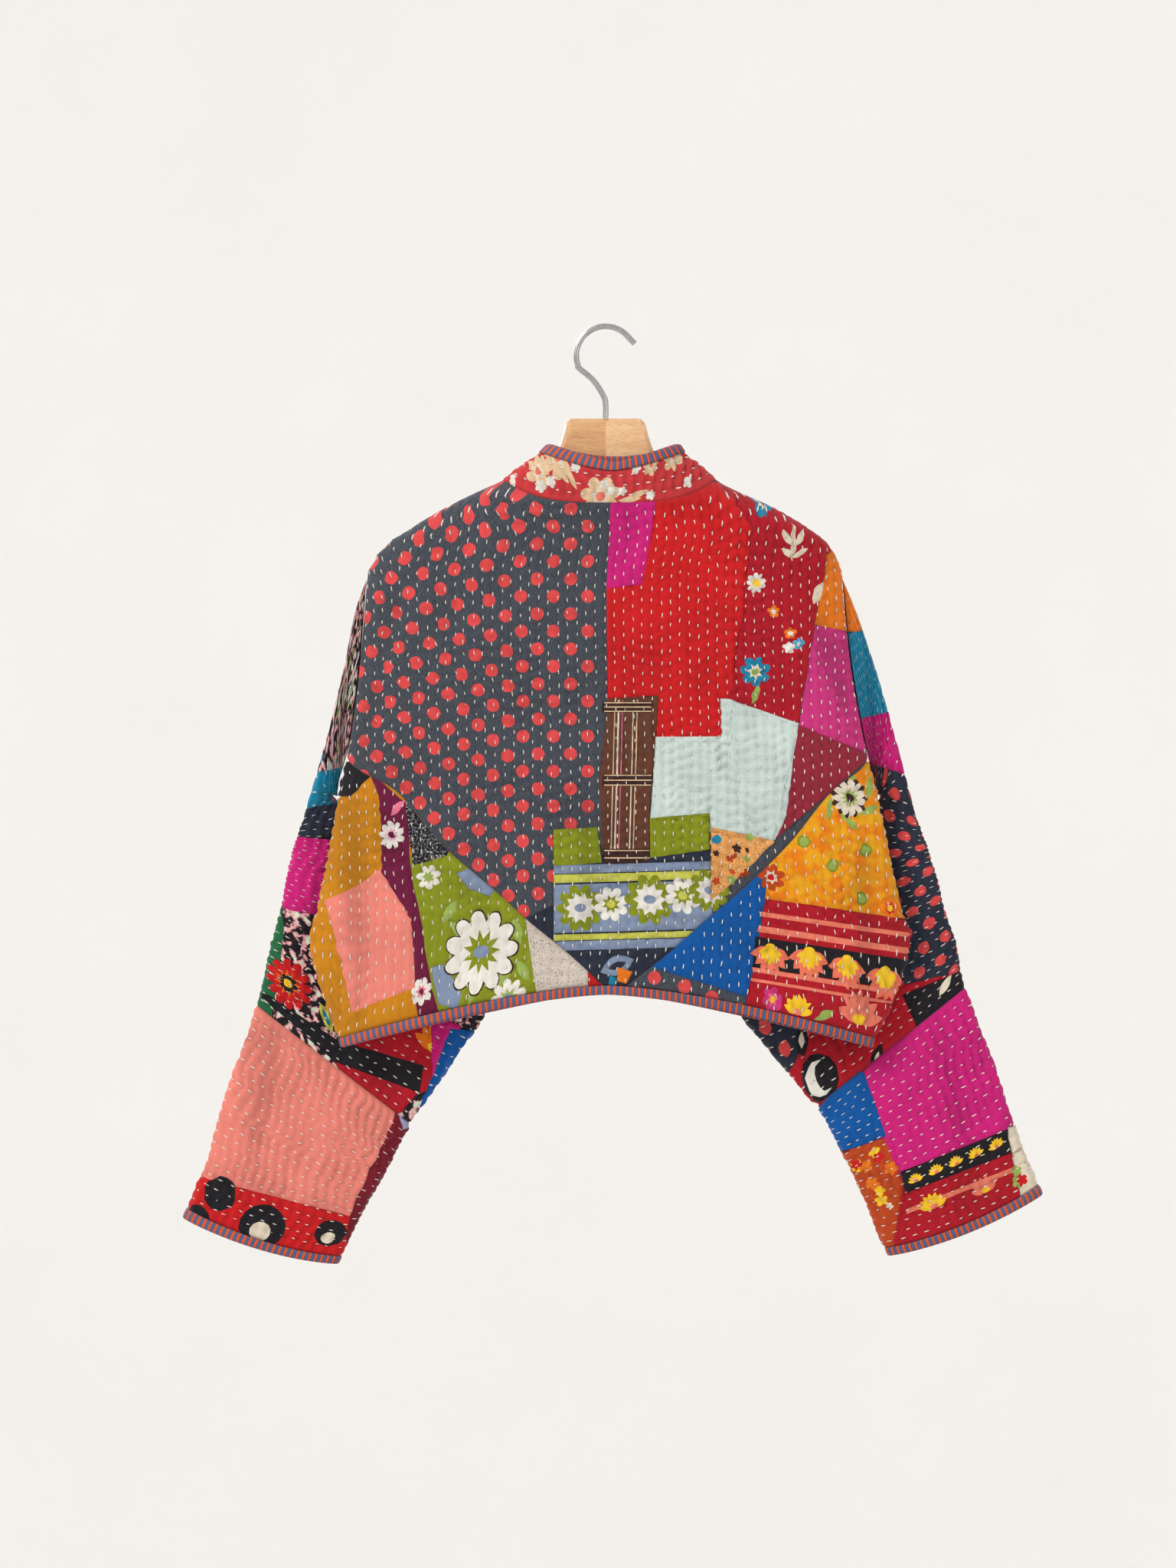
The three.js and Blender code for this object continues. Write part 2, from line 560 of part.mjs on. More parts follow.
function cuffBinding(side) {
  const surface = sleeveSurface(side);
  const loops = turns.map((turn) =>
    BINDING_SECTION.map(({ share, deep }) => surface.place(surface.end - share * BINDING, turn, deep)),
  );
  return loft(loops, true);
}

// The cloth's length from the centre back to the inner seam of the front edge's binding.
function frontSeam(at) {
  return ring(at).whole - FRONT_EDGE - BINDING - SEAM;
}

// The hem's binding runs from one front edge round the back to the other, with loops close
// together round the side folds.
function hemBinding() {
  const { fold } = ring(1);
  const end = frontSeam(1);
  const half = [
    ...steps(0, fold - 2 * RIM_STEP, 12),
    ...steps(fold - RIM_STEP, fold + RIM_STEP, 2),
    ...steps(fold + 2 * RIM_STEP, end, 11),
  ];
  const shares = [...half.slice(1).map((along) => -along).reverse(), ...half].map((along) => along / end);
  const seam = 1 - ringGap(1);
  const loops = shares.map((share) =>
    BINDING_SECTION.map((point) => {
      const at = point.share * seam;
      return bodyPoint(share * frontSeam(at), at, point.deep);
    }),
  );
  return loft(loops, false);
}

// Stations along the collar, as shares of its length, at the body's own columns on the neck seam.
function collarShares() {
  const { fold } = ring(NECK);
  const end = frontSeam(NECK);
  const half = [...columns(0, fold, RIM_STEP), ...columns(fold, end, RIM_STEP).slice(1)];
  return [...half.slice(1).map((along) => -along).reverse(), ...half].map((along) => along / end);
}

// The collar's u is the cloth's length up from the neck seam at the centre back.
function collarPanel() {
  const place = (u, share, deep) => {
    const at = lerp(NECK, COLLAR_TOP, u / COLLAR_TALL);
    return bodyPoint(share * frontSeam(at), at, deep);
  };
  return quiltedWall({
    rows: collarShares(),
    from: () => SEAM / 2,
    to: () => COLLAR_TALL - SEAM / 2,
    place,
    pitch: COLLAR_PITCH,
    inner: { count: 2 },
  });
}

function collarBinding() {
  const seam = 1 - ringGap(COLLAR_TOP);
  const loops = collarShares().map((share) =>
    BINDING_SECTION.map((point) => {
      const at = COLLAR_BOUND - point.share * seam;
      return bodyPoint(share * frontSeam(at), at, point.deep);
    }),
  );
  return loft(loops, false);
}

// A front edge's binding runs from the hem up to the top of the collar.
function frontBinding(side) {
  const sign = side === "left" ? 1 : -1;
  const levels = [...steps(0, UNDERARM, 10), ...steps(UNDERARM, NECK, 12).slice(1), ...steps(NECK, COLLAR_BOUND, 6).slice(1)];
  const loops = levels.map((at) =>
    BINDING_SECTION.map(({ share, deep }) =>
      bodyPoint(sign * (ring(at).whole - FRONT_EDGE - share * BINDING), at, deep),
    ),
  );
  return loft(loops, false);
}

// Height of the cloth's underside over a point between its two layers on a shoulder.
function clothOver(x, y) {
  const inside = (at) => {
    const r = ring(at);
    const depth = (y < 0 ? r.back : r.front) - CLOTH;
    const across = (1 - (y / depth) ** 2) ** (1 / r.square);
    return {
      x: r.centre + Math.sign(x) * (r.halfWidth - r.edgeCloth) * across,
      z: edgeHeight(r, across, y > 0),
    };
  };
  let low = TIP;
  let high = NECK;
  for (let i = 0; i < 30; i++) {
    const middle = (low + high) / 2;
    if (Math.abs(inside(middle).x) > Math.abs(x)) low = middle;
    else high = middle;
  }
  return inside(low).z;
}

// The hanger's wood: sections along it, each as high as the cloth over it allows on the arms.
function hangerWood() {
  const angles = steps(0, 2 * Math.PI, HANGER_ROUND).slice(0, HANGER_ROUND);
  const squared = (value) => Math.sign(value) * Math.abs(value) ** HANGER_SQUARE;
  const section = angles.map((angle) => ({ y: squared(Math.cos(angle)), drop: 1 - squared(Math.sin(angle)) }));
  const arm = (sign) =>
    steps(0, 1, HANGER_ARM.stations).map((share) => {
      const x = sign * lerp(HANGER_ARM.from, HANGER_ARM.to, share);
      const half = lerp(HANGER.at(-1).half, HANGER_ARM.half, share);
      const { tall, clear } = HANGER_ARM;
      const tops = section
        .filter(({ drop }) => drop < 1)
        .map(({ y, drop }) => clothOver(x, half * y) + (tall / 2) * drop);
      return { x, half, tall, top: Math.min(...tops) - clear };
    });
  const middle = (sign) => HANGER.map(({ out, ...rest }) => ({ x: sign * out, ...rest }));
  const stations = [...arm(-1).reverse(), ...middle(-1).reverse(), ...middle(1).slice(1), ...arm(1)];
  const loops = stations.map(({ x, top, half, tall }) =>
    section.map(({ y, drop }) => new THREE.Vector3(x, half * y, top - (tall / 2) * drop)),
  );
  return loft(loops, false);
}

// The hook: a straight stem, a lead across to the left, and an arc over the top.
function hangerHook() {
  const { wire, radius, stemTop, stemEnd, lead, tail } = HOOK;
  const centre = wire / 2 - radius;
  const arc = steps(205, 42, 12).map((degrees) => {
    const angle = THREE.MathUtils.degToRad(degrees);
    return new THREE.Vector3(radius * Math.cos(angle), 0, centre + radius * Math.sin(angle));
  });
  const end = arc.at(-1);
  const points = [
    new THREE.Vector3(0, 0, stemEnd),
    new THREE.Vector3(0, 0, (stemEnd + stemTop - lead) / 2),
    new THREE.Vector3(-1.5, 0, stemTop - lead * 1.3),
    new THREE.Vector3(-lead * 0.75, 0, stemTop - lead * 0.3),
    ...arc,
    new THREE.Vector3(end.x + tail * 0.7, 0, end.z - tail * 0.75),
  ];
  const path = new THREE.CatmullRomCurve3(points, false, "centripetal");
  const section = new THREE.Shape().absarc(0, 0, wire / 2, 0, 2 * Math.PI);
  return new THREE.ExtrudeGeometry(section, { steps: 34, extrudePath: path, curveSegments: 4 });
}

// A narrow loop of the same binding inside the back of the collar, standing just over its edge.
function neckLoop() {
  const { left, right, top, sag, clear, thick } = NECK_LOOP;
  const r = ring(COLLAR_BOUND);
  const loops = steps(-1, 1, 12).map((share) => {
    const x = lerp(left, right, (share + 1) / 2);
    const z = top - sag * (1 - share * share);
    const across = Math.abs(x - r.centre) / (r.halfWidth - r.edgeCloth);
    const depth = (r.back - CLOTH) * Math.sqrt(1 - across ** r.square);
    const y = -depth + BINDING_SWELL * CLOTH + clear;
    return [
      new THREE.Vector3(x, y, z),
      new THREE.Vector3(x, y, z - BINDING),
      new THREE.Vector3(x, y + thick, z - BINDING),
      new THREE.Vector3(x, y + thick, z),
    ];
  });
  return loft(loops, false);
}

const jacket = new THREE.Group();

function addPiece(name, geometry, colour, roughness = 0.9, metalness = 0) {
  const material = new THREE.MeshStandardMaterial({ color: colour, roughness, metalness });
  const piece = new THREE.Mesh(geometry, material);
  piece.name = name;
  jacket.add(piece);
}

addPiece("hanger_wood", hangerWood(), 0xd9a066, 0.5);
addPiece("hanger_hook", hangerHook(), 0xc8cacc, 0.3, 0.9);
addPiece("back_panel", backPanel(), CLOTH_COLOURS.back);
addPiece("collar", collarPanel(), CLOTH_COLOURS.collar);
addPiece("collar_binding", collarBinding(), CLOTH_COLOURS.binding);
addPiece("hem_binding", hemBinding(), CLOTH_COLOURS.binding);
addPiece("neck_loop", neckLoop(), CLOTH_COLOURS.binding);
for (const side of ["left", "right"]) {
  addPiece(`gusset_${side}`, gusset(side), CLOTH_COLOURS.gusset);
  addPiece(`front_${side}`, frontPanel(side), CLOTH_COLOURS.front);
  addPiece(`front_binding_${side}`, frontBinding(side), CLOTH_COLOURS.binding);
  addPiece(`sleeve_${side}`, sleevePiece(side, "upper"), CLOTH_COLOURS.sleeve);
  addPiece(`forearm_${side}`, sleevePiece(side, "lower"), CLOTH_COLOURS.cuff);
  addPiece(`cuff_binding_${side}`, cuffBinding(side), CLOTH_COLOURS.binding);
}

export default jacket;
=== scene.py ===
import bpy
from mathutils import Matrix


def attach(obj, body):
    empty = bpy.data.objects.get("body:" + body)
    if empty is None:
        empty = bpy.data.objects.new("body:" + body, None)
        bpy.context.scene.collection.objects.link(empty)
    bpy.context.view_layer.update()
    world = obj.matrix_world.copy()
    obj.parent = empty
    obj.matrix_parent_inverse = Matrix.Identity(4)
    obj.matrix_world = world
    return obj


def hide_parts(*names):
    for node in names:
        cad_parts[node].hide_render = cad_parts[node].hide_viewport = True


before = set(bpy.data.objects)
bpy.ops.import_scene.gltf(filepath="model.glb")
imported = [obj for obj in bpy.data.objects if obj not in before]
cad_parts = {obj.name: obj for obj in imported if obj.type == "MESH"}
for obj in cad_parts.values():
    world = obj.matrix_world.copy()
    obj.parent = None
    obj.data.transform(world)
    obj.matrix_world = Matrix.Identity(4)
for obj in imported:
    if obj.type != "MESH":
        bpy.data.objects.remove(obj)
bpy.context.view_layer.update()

# The patchwork kantha jacket on its hanger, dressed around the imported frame. Lengths are millimetres
# on the cloth and become metres when a mesh is made. Cloth is laid out flat first, as panels with
# patches and prints on them, and then placed on the body or on a sleeve.
import math
import bmesh
import bpy
import numpy as np
from mathutils import Vector
from mathutils.geometry import delaunay_2d_cdt
from mathutils.kdtree import KDTree

METRE = 0.001
SIGN = {"left": -1, "right": 1}
PIXEL = 0.66  # millimetres to a pixel of the 1536 x 2048 photograph
HANG_PIXEL = (791, 430)  # the hang point in the photograph

CLOTH = 2.4
# The sewn cloth closes up the gaps that the solids keep at their seams.
SEAM = 0.08
SLANT = 0.12
BINDING = 8.3
ARMHOLE_SPREAD = 6
FRONT_EDGE = 7
FRONT_BOW = 0.8
FRONT_SEAM_SHARE = 0.8

# Level rings of the body and collar, from the hem up, as the CAD model has them.
RING_COLUMNS = ("left", "right", "centre_back", "side", "centre_front", "back", "front", "square", "bow")
RINGS = np.array([
    (-228, 230, -573, -619, -571, 18, 11, 4, 1.5),
    (-230, 232, -565, -611, -563, 18, 11, 4, 1.5),
    (-244, 250, -536, -574, -535, 19, 11, 4, 1.6),
    (-255, 263, -506, -529, -506, 19, 11, 4, 1.8),
    (-248, 255, -481, -498, -482, 20, 11, 4, 1.9),
    (-239, 243, -441, -449, -442, 21, 11, 4, 2),
    (-230, 233, -397, -399, -398, 22, 12, 4, 2),
    (-224, 227, -369, -370, -370, 23, 14, 4.4, 2),
    (-216, 216, -304, -304, -314, 25, 20, 5, 2),
    (-210, 208, -244, -244, -268, 26, 25, 6, 2),
    (-206, 204, -217, -215, -250, 26, 26, 7, 2),
    (-200, 200, -203, -200, -241, 26, 26, 8, 2),
    (-186, 191, -189, -184, -234, 26, 26, 8, 2),
    (-169, 176, -180, -172, -229, 26, 26, 8, 2),
    (-150, 157, -172, -160, -224, 26, 26, 7, 2.1),
    (-130, 135, -164, -149, -219, 27, 27, 5.5, 2.2),
    (-110, 114, -156, -139, -213, 28, 29, 3.8, 2.4),
    (-90, 97, -151, -130, -206, 30, 31, 2.7, 3.4),
    (-72, 82, -136, -117, -190, 26, 27, 2.4, 2.4),
    (-57, 68, -123, -106, -176, 20, 23, 2.3, 1.5),
    (-50, 63, -115.5, -99, -168, 17, 21, 2.3, 1.2),
])
HEM, RIB, UNDERARM, TIP, NECK, COLLAR_TOP, COLLAR_BOUND = 1, 6, 7, 10, 17, 19, 20
GUSSET_SEAM = {
    "left": (0, -3, -32, -68, -95, -141, -180),
    "right": (19, 18, 52, 86, 115, 157, 195),
}

# Flat sections across the sleeves, as the CAD model has them. The right one's fold lies 2 to 5 mm
# nearer the body at the underarm, where the sewn cloth shows no gap.
SLEEVE_COLUMNS = (
    "outer_x", "outer_z", "inner_x", "inner_z", "outer_y", "inner_y", "outer_thick", "inner_thick", "sag"
)
SLEEVES = {
    "left": np.array([
        (-216, -244, -228, -381, 4, 9, 32, 14, 0),
        (-227, -297, -231, -390, 10, 17, 27, 14, 0),
        (-242, -356, -232, -401, 15, 24, 24, 14, 0),
        (-261, -422, -230, -412, 18, 27, 22, 14, 0),
        (-271, -458, -150, -505, 19, 30, 22, 14, 1),
        (-280, -495, -104, -577, 20, 31, 22, 15, 2),
        (-291, -539, -131, -628, 20, 30, 22, 16, 1),
        (-302, -583, -170, -686, 19, 27, 23, 17, 0),
        (-324, -650, -192, -726, 17, 23, 25, 19, 3),
        (-344, -716, -214, -768, 16, 20, 27, 21, 6),
        (-365, -767, -232, -807, 15, 18, 29, 23, 7),
    ], float),
    "right": np.array([
        (216, -244, 229, -381, 4, 9, 32, 14, 0),
        (234, -297, 231.5, -390, 10, 17, 27, 14, 0),
        (251, -356, 232, -401, 15, 24, 24, 14, 0),
        (269, -422, 232, -412, 18, 27, 22, 14, 0),
        (281, -459, 158, -503, 19, 30, 22, 14, 1),
        (292, -495, 113, -574, 20, 31, 22, 15, 2),
        (303, -531, 140, -620, 20, 30, 22, 16, 1),
        (311, -568, 184, -670, 19, 27, 23, 17, 0),
        (331, -624, 203, -704, 17, 23, 25, 19, 3),
        (352, -686, 224, -750, 16, 20, 27, 21, 6),
        (377, -747, 245, -800, 15, 18, 29, 23, 7),
    ], float),
}
SLEEVE_SEAM = 8  # the section row, counted from the armhole, where the forearm starts
SLEEVE_SQUARE = 4.5
SLEEVE_EDGES = (-0.2499, 0.7499)  # where a sleeve's flat cloth starts and ends, in turns

# Colours as they look in the photograph, red, green and blue from 0 to 255.
COLOURS = {
    "slate": (40, 48, 62), "dot": (222, 74, 74), "red": (205, 22, 26), "dark_red": (178, 16, 34),
    "deep_red": (120, 20, 38), "magenta": (206, 26, 122), "pink": (208, 52, 128), "orange": (236, 122, 22),
    "brown_red": (150, 38, 56), "brown": (100, 58, 42), "cream": (232, 218, 196), "maroon": (108, 16, 58),
    "mint": (212, 226, 220), "olive": (136, 146, 24), "grey_blue": (132, 148, 176), "lime": (202, 202, 84),
    "navy": (40, 46, 62), "blue": (0, 84, 160), "yellow": (238, 168, 22), "coral": (236, 134, 120),
    "salmon": (240, 128, 104), "black": (26, 24, 30), "mustard": (204, 132, 14), "teal": (22, 134, 170),
    "green": (34, 104, 66), "white": (236, 232, 222), "beige": (214, 202, 190),
    "light_orange": (236, 168, 96),
    "sky": (66, 166, 206), "lotus": (240, 120, 90), "sun": (248, 200, 40), "leaf": (156, 178, 88),
    "collar": (206, 54, 58), "tan": (232, 198, 156), "line": (60, 34, 30), "rust": (190, 70, 24),
    "stripe_orange": (214, 92, 50), "stripe_blue": (82, 98, 142), "stripe_line": (66, 48, 70),
    "lining": (176, 66, 74), "lavender": (176, 170, 206), "rose": (232, 120, 150),
    "pale_pink": (240, 180, 196),
}


def linear(name):
    """A named colour as linear red, green and blue."""
    values = np.array(COLOURS[name]) / 255
    return np.where(values <= 0.04045, values / 12.92, ((values + 0.055) / 1.055) ** 2.4)


def lerp(a, b, share):
    return a + (b - a) * share


def smooth_rows(table, at):
    """A smooth curve through a table's rows, at fractional row numbers."""
    at = np.asarray(at, float)
    last = len(table) - 1
    i = np.clip(np.floor(at).astype(int), 0, last - 1)
    wide = (...,) + (None,) * (table.ndim - 1)
    f = (at - i)[wide]
    b, c = table[i], table[i + 1]
    a = np.where((i > 0)[wide], table[np.maximum(i - 1, 0)], 2 * b - c)
    d = np.where((i + 2 <= last)[wide], table[np.minimum(i + 2, last)], 2 * c - b)
    return b + 0.5 * ((c - a) * f + (2 * a - 5 * b + 4 * c - d) * f**2 + (3 * b - a - 3 * c + d) * f**3)


def lookup(table, i, j):
    """A table's value between its cells."""
    i = np.clip(i, 0, table.shape[0] - 1 - 1e-6)
    j = np.clip(j, 0, table.shape[1] - 1 - 1e-6)
    a, b = i.astype(int), j.astype(int)
    f, g = i - a, j - b
    if table.ndim == 3:
        f, g = f[..., None], g[..., None]
    low = table[a, b] * (1 - g) + table[a, b + 1] * g
    high = table[a + 1, b] * (1 - g) + table[a + 1, b + 1] * g
    return low * (1 - f) + high * f


def noise(u, v, cell_u, cell_v, seed):
    """Smooth value noise from -1 to 1, with cells of the given size."""
    rng = np.random.default_rng(seed)
    size = 128
    values = rng.uniform(-1, 1, (size, size))
    a, b = np.asarray(u) / cell_u + 40.0, np.asarray(v) / cell_v + 40.0
    i, j = np.floor(a).astype(int), np.floor(b).astype(int)
    f, g = a - i, b - j
    f, g = f * f * (3 - 2 * f), g * g * (3 - 2 * g)
    at = lambda p, q: values[p % size, q % size]
    low = at(i, j) * (1 - f) + at(i + 1, j) * f
    high = at(i, j + 1) * (1 - f) + at(i + 1, j + 1) * f
    return low * (1 - g) + high * g


def from_pixels(points):
    """Pixels of the photograph as x and z on the jacket's plane."""
    points = np.asarray(points, float)
    return (points[:, 0] - HANG_PIXEL[0]) * PIXEL, (HANG_PIXEL[1] - points[:, 1]) * PIXEL


def densified(points, step):
    """A closed polygon's points with no side longer than step."""
    points = np.asarray(points, float)
    made = []
    for a, b in zip(points, np.roll(points, -1, axis=0)):
        count = max(1, math.ceil(np.linalg.norm(b - a) / step))
        made += [a + (b - a) * k / count for k in range(count)]
    return np.array(made)


def armhole_spread(level):
    """How far the armhole's edges stand from the side fold."""
    share = np.clip((level - UNDERARM) / (TIP - UNDERARM), 0, 1)
    return SEAM / 2 + ARMHOLE_SPREAD * np.sqrt(np.sin(math.pi * share).clip(0))


class Body:
    """The tube of the jacket's body. u runs round from the centre back, positive to the photograph's
    right, and v is the height at the centre back."""
    STEP = 0.05
    ANGLES = 240
    SHARES = 600
    ACROSS = 400
    WIDEST_SLANT = 2.2
    HALVINGS = 30

    def __init__(self):
        self.levels = np.arange(0, len(RINGS) - 1 + self.STEP / 2, self.STEP)
        rows = smooth_rows(RINGS, self.levels)
        for column, values in zip(RING_COLUMNS, rows.T):
            setattr(self, column, values)
        self.half_width = (self.right - self.left) / 2
        self.centre = (self.left + self.right) / 2
        slope = np.gradient(self.half_width) / np.gradient(self.side)
        edge_cloth = CLOTH * np.minimum(np.hypot(1, slope), self.WIDEST_SLANT)
        angle = np.linspace(0, math.pi, self.ANGLES + 1)
        across = np.sin(angle).clip(0) ** (2 / self.square[:, None])
        deep = np.cos(angle)
        depth = np.where(deep > 0, self.back[:, None], self.front[:, None])
        outer = np.stack([self.half_width[:, None] * across, -depth * deep], -1)
        inner = np.stack([(self.half_width - edge_cloth)[:, None] * across, -(depth - CLOTH) * deep], -1)
        steps = np.linalg.norm(np.diff(outer, axis=1), axis=-1)
        self.length = np.concatenate([np.zeros((len(rows), 1)), np.cumsum(steps, axis=1)], axis=1)
        self.whole = self.length[:, -1]
        self.fold = self.length[:, self.ANGLES // 2]
        self.table = np.array([self.resampled(k, outer[k], inner[k]) for k in range(len(rows))])
        half = self.ANGLES // 2 + 1
        shares = np.linspace(0, 1, self.ACROSS + 1)
        self.length_across = np.array(
            [np.interp(shares, row[:half], own[:half]) for row, own in zip(across, self.length)]
        )

    def resampled(self, k, outer, inner):
        lengths = np.linspace(0, self.whole[k], self.SHARES + 1)
        columns = [np.interp(lengths, self.length[k], column) for column in (*outer.T, *inner.T)]
        across = np.clip(columns[0] / self.half_width[k], 0, 1)
        on_front = lengths > self.fold[k]
        return np.stack([*columns, self.height(k, across, on_front)], -1)

    def height(self, k, across, on_front):
        middle = np.where(on_front, self.centre_front[k], self.centre_back[k])
        bow = np.where(on_front, FRONT_BOW * self.bow[k], self.bow[k])
        return middle + (self.side[k] - middle) * across**bow

    def level(self, v):
        return np.interp(v, self.centre_back, self.levels)

    def at(self, column, level):
        return np.interp(level, self.levels, getattr(self, column))

    def place(self, u, v, lift):
        level = self.level(v)
        share = np.abs(u) / self.at("whole", level)
        cell = lookup(self.table, level / self.STEP, share * self.SHARES)
        deep = -np.asarray(lift) / CLOTH
        x = lerp(cell[..., 0], cell[..., 2], deep)
        y = lerp(cell[..., 1], cell[..., 3], deep)
        return np.stack([self.at("centre", level) + np.sign(u) * x, y, cell[..., 4]], -1)

    def length_to(self, x, level):
        """The cloth's length from the centre back to where the back crosses x."""
        out = np.abs(x - self.at("centre", level)) / self.at("half_width", level)
        length = lookup(self.length_across, level / self.STEP, np.clip(out, 0, 1) * self.ACROSS)
        beyond = np.maximum(out - 1, 0) * self.at("half_width", level)
        return np.sign(x - self.at("centre", level)) * (length + beyond)

    def invert(self, x, z):
        """Where the back shows x and z. Past the side fold it goes on round by the same distance."""
        low, high = np.zeros_like(x), np.full_like(x, len(RINGS) - 1.0)
        for _ in range(self.HALVINGS):
            level = (low + high) / 2
            across = np.minimum(np.abs(x - self.at("centre", level)) / self.at("half_width", level), 1)
            middle, side = self.at("centre_back", level), self.at("side", level)
            height = middle + (side - middle) * across ** self.at("bow", level)
            low, high = np.where(height < z, level, low), np.where(height < z, high, level)
        return np.stack([self.length_to(x, level), self.at("centre_back", level)], -1)

    def side_edge(self, side, level, on_front):
        """Where a panel's side edge crosses a level: at the fold, the armhole or the gusset's seam."""
        sign = SIGN[side]
        fold = self.at("fold", level)
        spread = armhole_spread(level)
        above = sign * (fold + spread if on_front else fold - spread)
        rows = np.array(GUSSET_SEAM[side], float)
        last = len(rows) - 1
        seam_x = np.where(
            level <= last,
            smooth_rows(rows[:, None], np.minimum(level, last))[..., 0],
            lerp(rows[last], self.at(side, level), np.clip(level - last, 0, 1)),
        )
        seam = self.length_to(seam_x, level)
        reach = fold - np.abs(seam) * np.sign(seam * sign)
        below = sign * (fold + reach * FRONT_SEAM_SHARE) if on_front else seam
        return np.where(level >= UNDERARM, above, below)

    def front_seam(self, level):
        return self.at("whole", level) - FRONT_EDGE - BINDING - SEAM

    def ring_gap(self, level):
        rise = self.at("centre_back", level + 0.05) - self.at("centre_back", level - 0.05)
        return (SEAM / 2) * 0.1 / abs(rise)


BODY = Body()


class Sleeve:
    """A sleeve's tube. u runs round from the outer fold, positive to the photograph's right for the
    left sleeve and to its left for the right one, and v is minus the reach from the armhole."""
    TURNS = 480
    REACHES = 220
    SHARES = 480
    VISIBLE = 40  # steps across the visible half, for finding a place from a pixel
    STEPS = 25
    LEAST_AREA = 0.05
    LONGEST_STEP = 4
    EASE = 0.7

    def __init__(self, side):
        self.side = side
        self.sign = -SIGN[side]
        self.rows = SLEEVES[side]
        turns = np.linspace(0, 1, self.TURNS + 1)
        outer, inner = [
            np.stack([self.ring(k, turns, deep) for k in range(len(self.rows) + 1)])
            for deep in (0, 1)
        ]
        middle = outer[:, self.TURNS // 4]
        gaps = np.linalg.norm(np.diff(middle, axis=0), axis=1)
        self.reaches = np.concatenate([[0], np.cumsum(gaps)])
        self.end = self.reaches[-1]
        self.seam = self.reaches[SLEEVE_SEAM]
        self.reach_rows = np.linspace(0, self.end, self.REACHES + 1)
        at = np.interp(self.reach_rows, self.reaches, np.arange(len(self.reaches)))
        outer, inner = smooth_rows(outer, at), smooth_rows(inner, at)
        steps = np.linalg.norm(np.diff(outer, axis=1), axis=-1)
        length = np.concatenate([np.zeros((len(at), 1)), np.cumsum(steps, axis=1)], axis=1)
        self.girths = length[:, -1]
        self.outer = self.resampled(outer, length)
        self.inner = self.resampled(inner, length)
        shares = np.linspace(0, 1, self.VISIBLE + 1)
        turn_of = np.arccos(1 - 2 * shares) / (2 * math.pi)
        self.across = np.array(
            [[np.interp(turn_of, turns, row[:, c]) for c in (0, 2)] for row in outer]
        ).transpose(0, 2, 1)
        self.across_length = np.array([np.interp(turn_of, turns, row) for row in length])

    def ring(self, k, turns, deep):
        along_own = np.cos(2 * math.pi * turns)
        if k == 0:
            half_tall = (RINGS[TIP, 3] - RINGS[UNDERARM, 3]) / 2
            back, front = self.armhole(along_own)
            back_in, front_in = self.armhole(along_own * (1 - deep * CLOTH / half_tall))
            half = (front[:, 1] - back[:, 1]) / 2 * (1 - deep * CLOTH / ARMHOLE_SPREAD)
            on_back = turns <= 0.5
            points = np.where(on_back[:, None], back_in, front_in)
            points[:, 1] = (back_in[:, 1] + front_in[:, 1]) / 2 + np.where(on_back, -half, half)
            points[:, 0] -= self.sign * SEAM
            return points
        row = dict(zip(SLEEVE_COLUMNS, self.rows[k - 1]))
        half_length = math.hypot(row["outer_x"] - row["inner_x"], row["outer_z"] - row["inner_z"]) / 2
        along = along_own * (1 - deep * CLOTH / half_length)
        share = (1 - along) / 2
        half_thick = lerp(row["outer_thick"], row["inner_thick"], share) / 2 - deep * CLOTH
        full = (1 - np.abs(along_own) ** SLEEVE_SQUARE).clip(0) ** (1 / SLEEVE_SQUARE)
        facing = np.where(turns < 0.5, 1, -1)
        return np.stack([
            lerp(row["outer_x"], row["inner_x"], share),
            lerp(row["outer_y"], row["inner_y"], share) - facing * half_thick * full,
            lerp(row["outer_z"], row["inner_z"], share) - row["sag"] * (1 - along**2),
        ], -1)

    def armhole(self, along):
        """The back's and the front's edges of the armhole, from its tip at 1 to the underarm at -1."""
        level = lerp(TIP, UNDERARM, (1 - along) / 2)
        v = BODY.at("centre_back", level)
        spread = armhole_spread(level)
        fold = BODY.at("fold", level)
        return [BODY.place(-self.sign * (fold + facing * spread), v, 0) for facing in (-1, 1)]

    def resampled(self, surface, length):
        shares = np.linspace(0, 1, self.SHARES + 1)
        return np.array([
            np.stack([np.interp(shares * girth[-1], girth, row[:, axis]) for axis in range(3)], -1)
            for row, girth in zip(surface, length)
        ])

    def girth(self, v):
        return np.interp(-v, self.reach_rows, self.girths)

    def line_round(self, x, z, past):
        """The curve round the sleeve where its height meets the line through two points. Where the
        sleeve starts below the line, it runs this far past the sleeve's edge."""
        slope = (z[1] - z[0]) / (x[1] - x[0])
        above = self.outer[..., 2] - (z[0] + slope * (self.outer[..., 0] - x[0]))
        points = []
        for share in np.linspace(-0.26, 0.76, 90):
            column = above[:, int(round((share % 1.0) * self.SHARES))]
            reach = float(np.interp(0, -column, self.reach_rows)) or -past
            points.append((self.sign * share * self.girth(-reach), -reach))
        return np.array(points)

    def place(self, u, v, lift):
        share = (self.sign * u / self.girth(v)) % 1.0
        i, j = -v / self.end * self.REACHES, share * self.SHARES
        outer, inner = lookup(self.outer, i, j), lookup(self.inner, i, j)
        return lerp(outer, inner, (-np.asarray(lift) / CLOTH)[..., None])

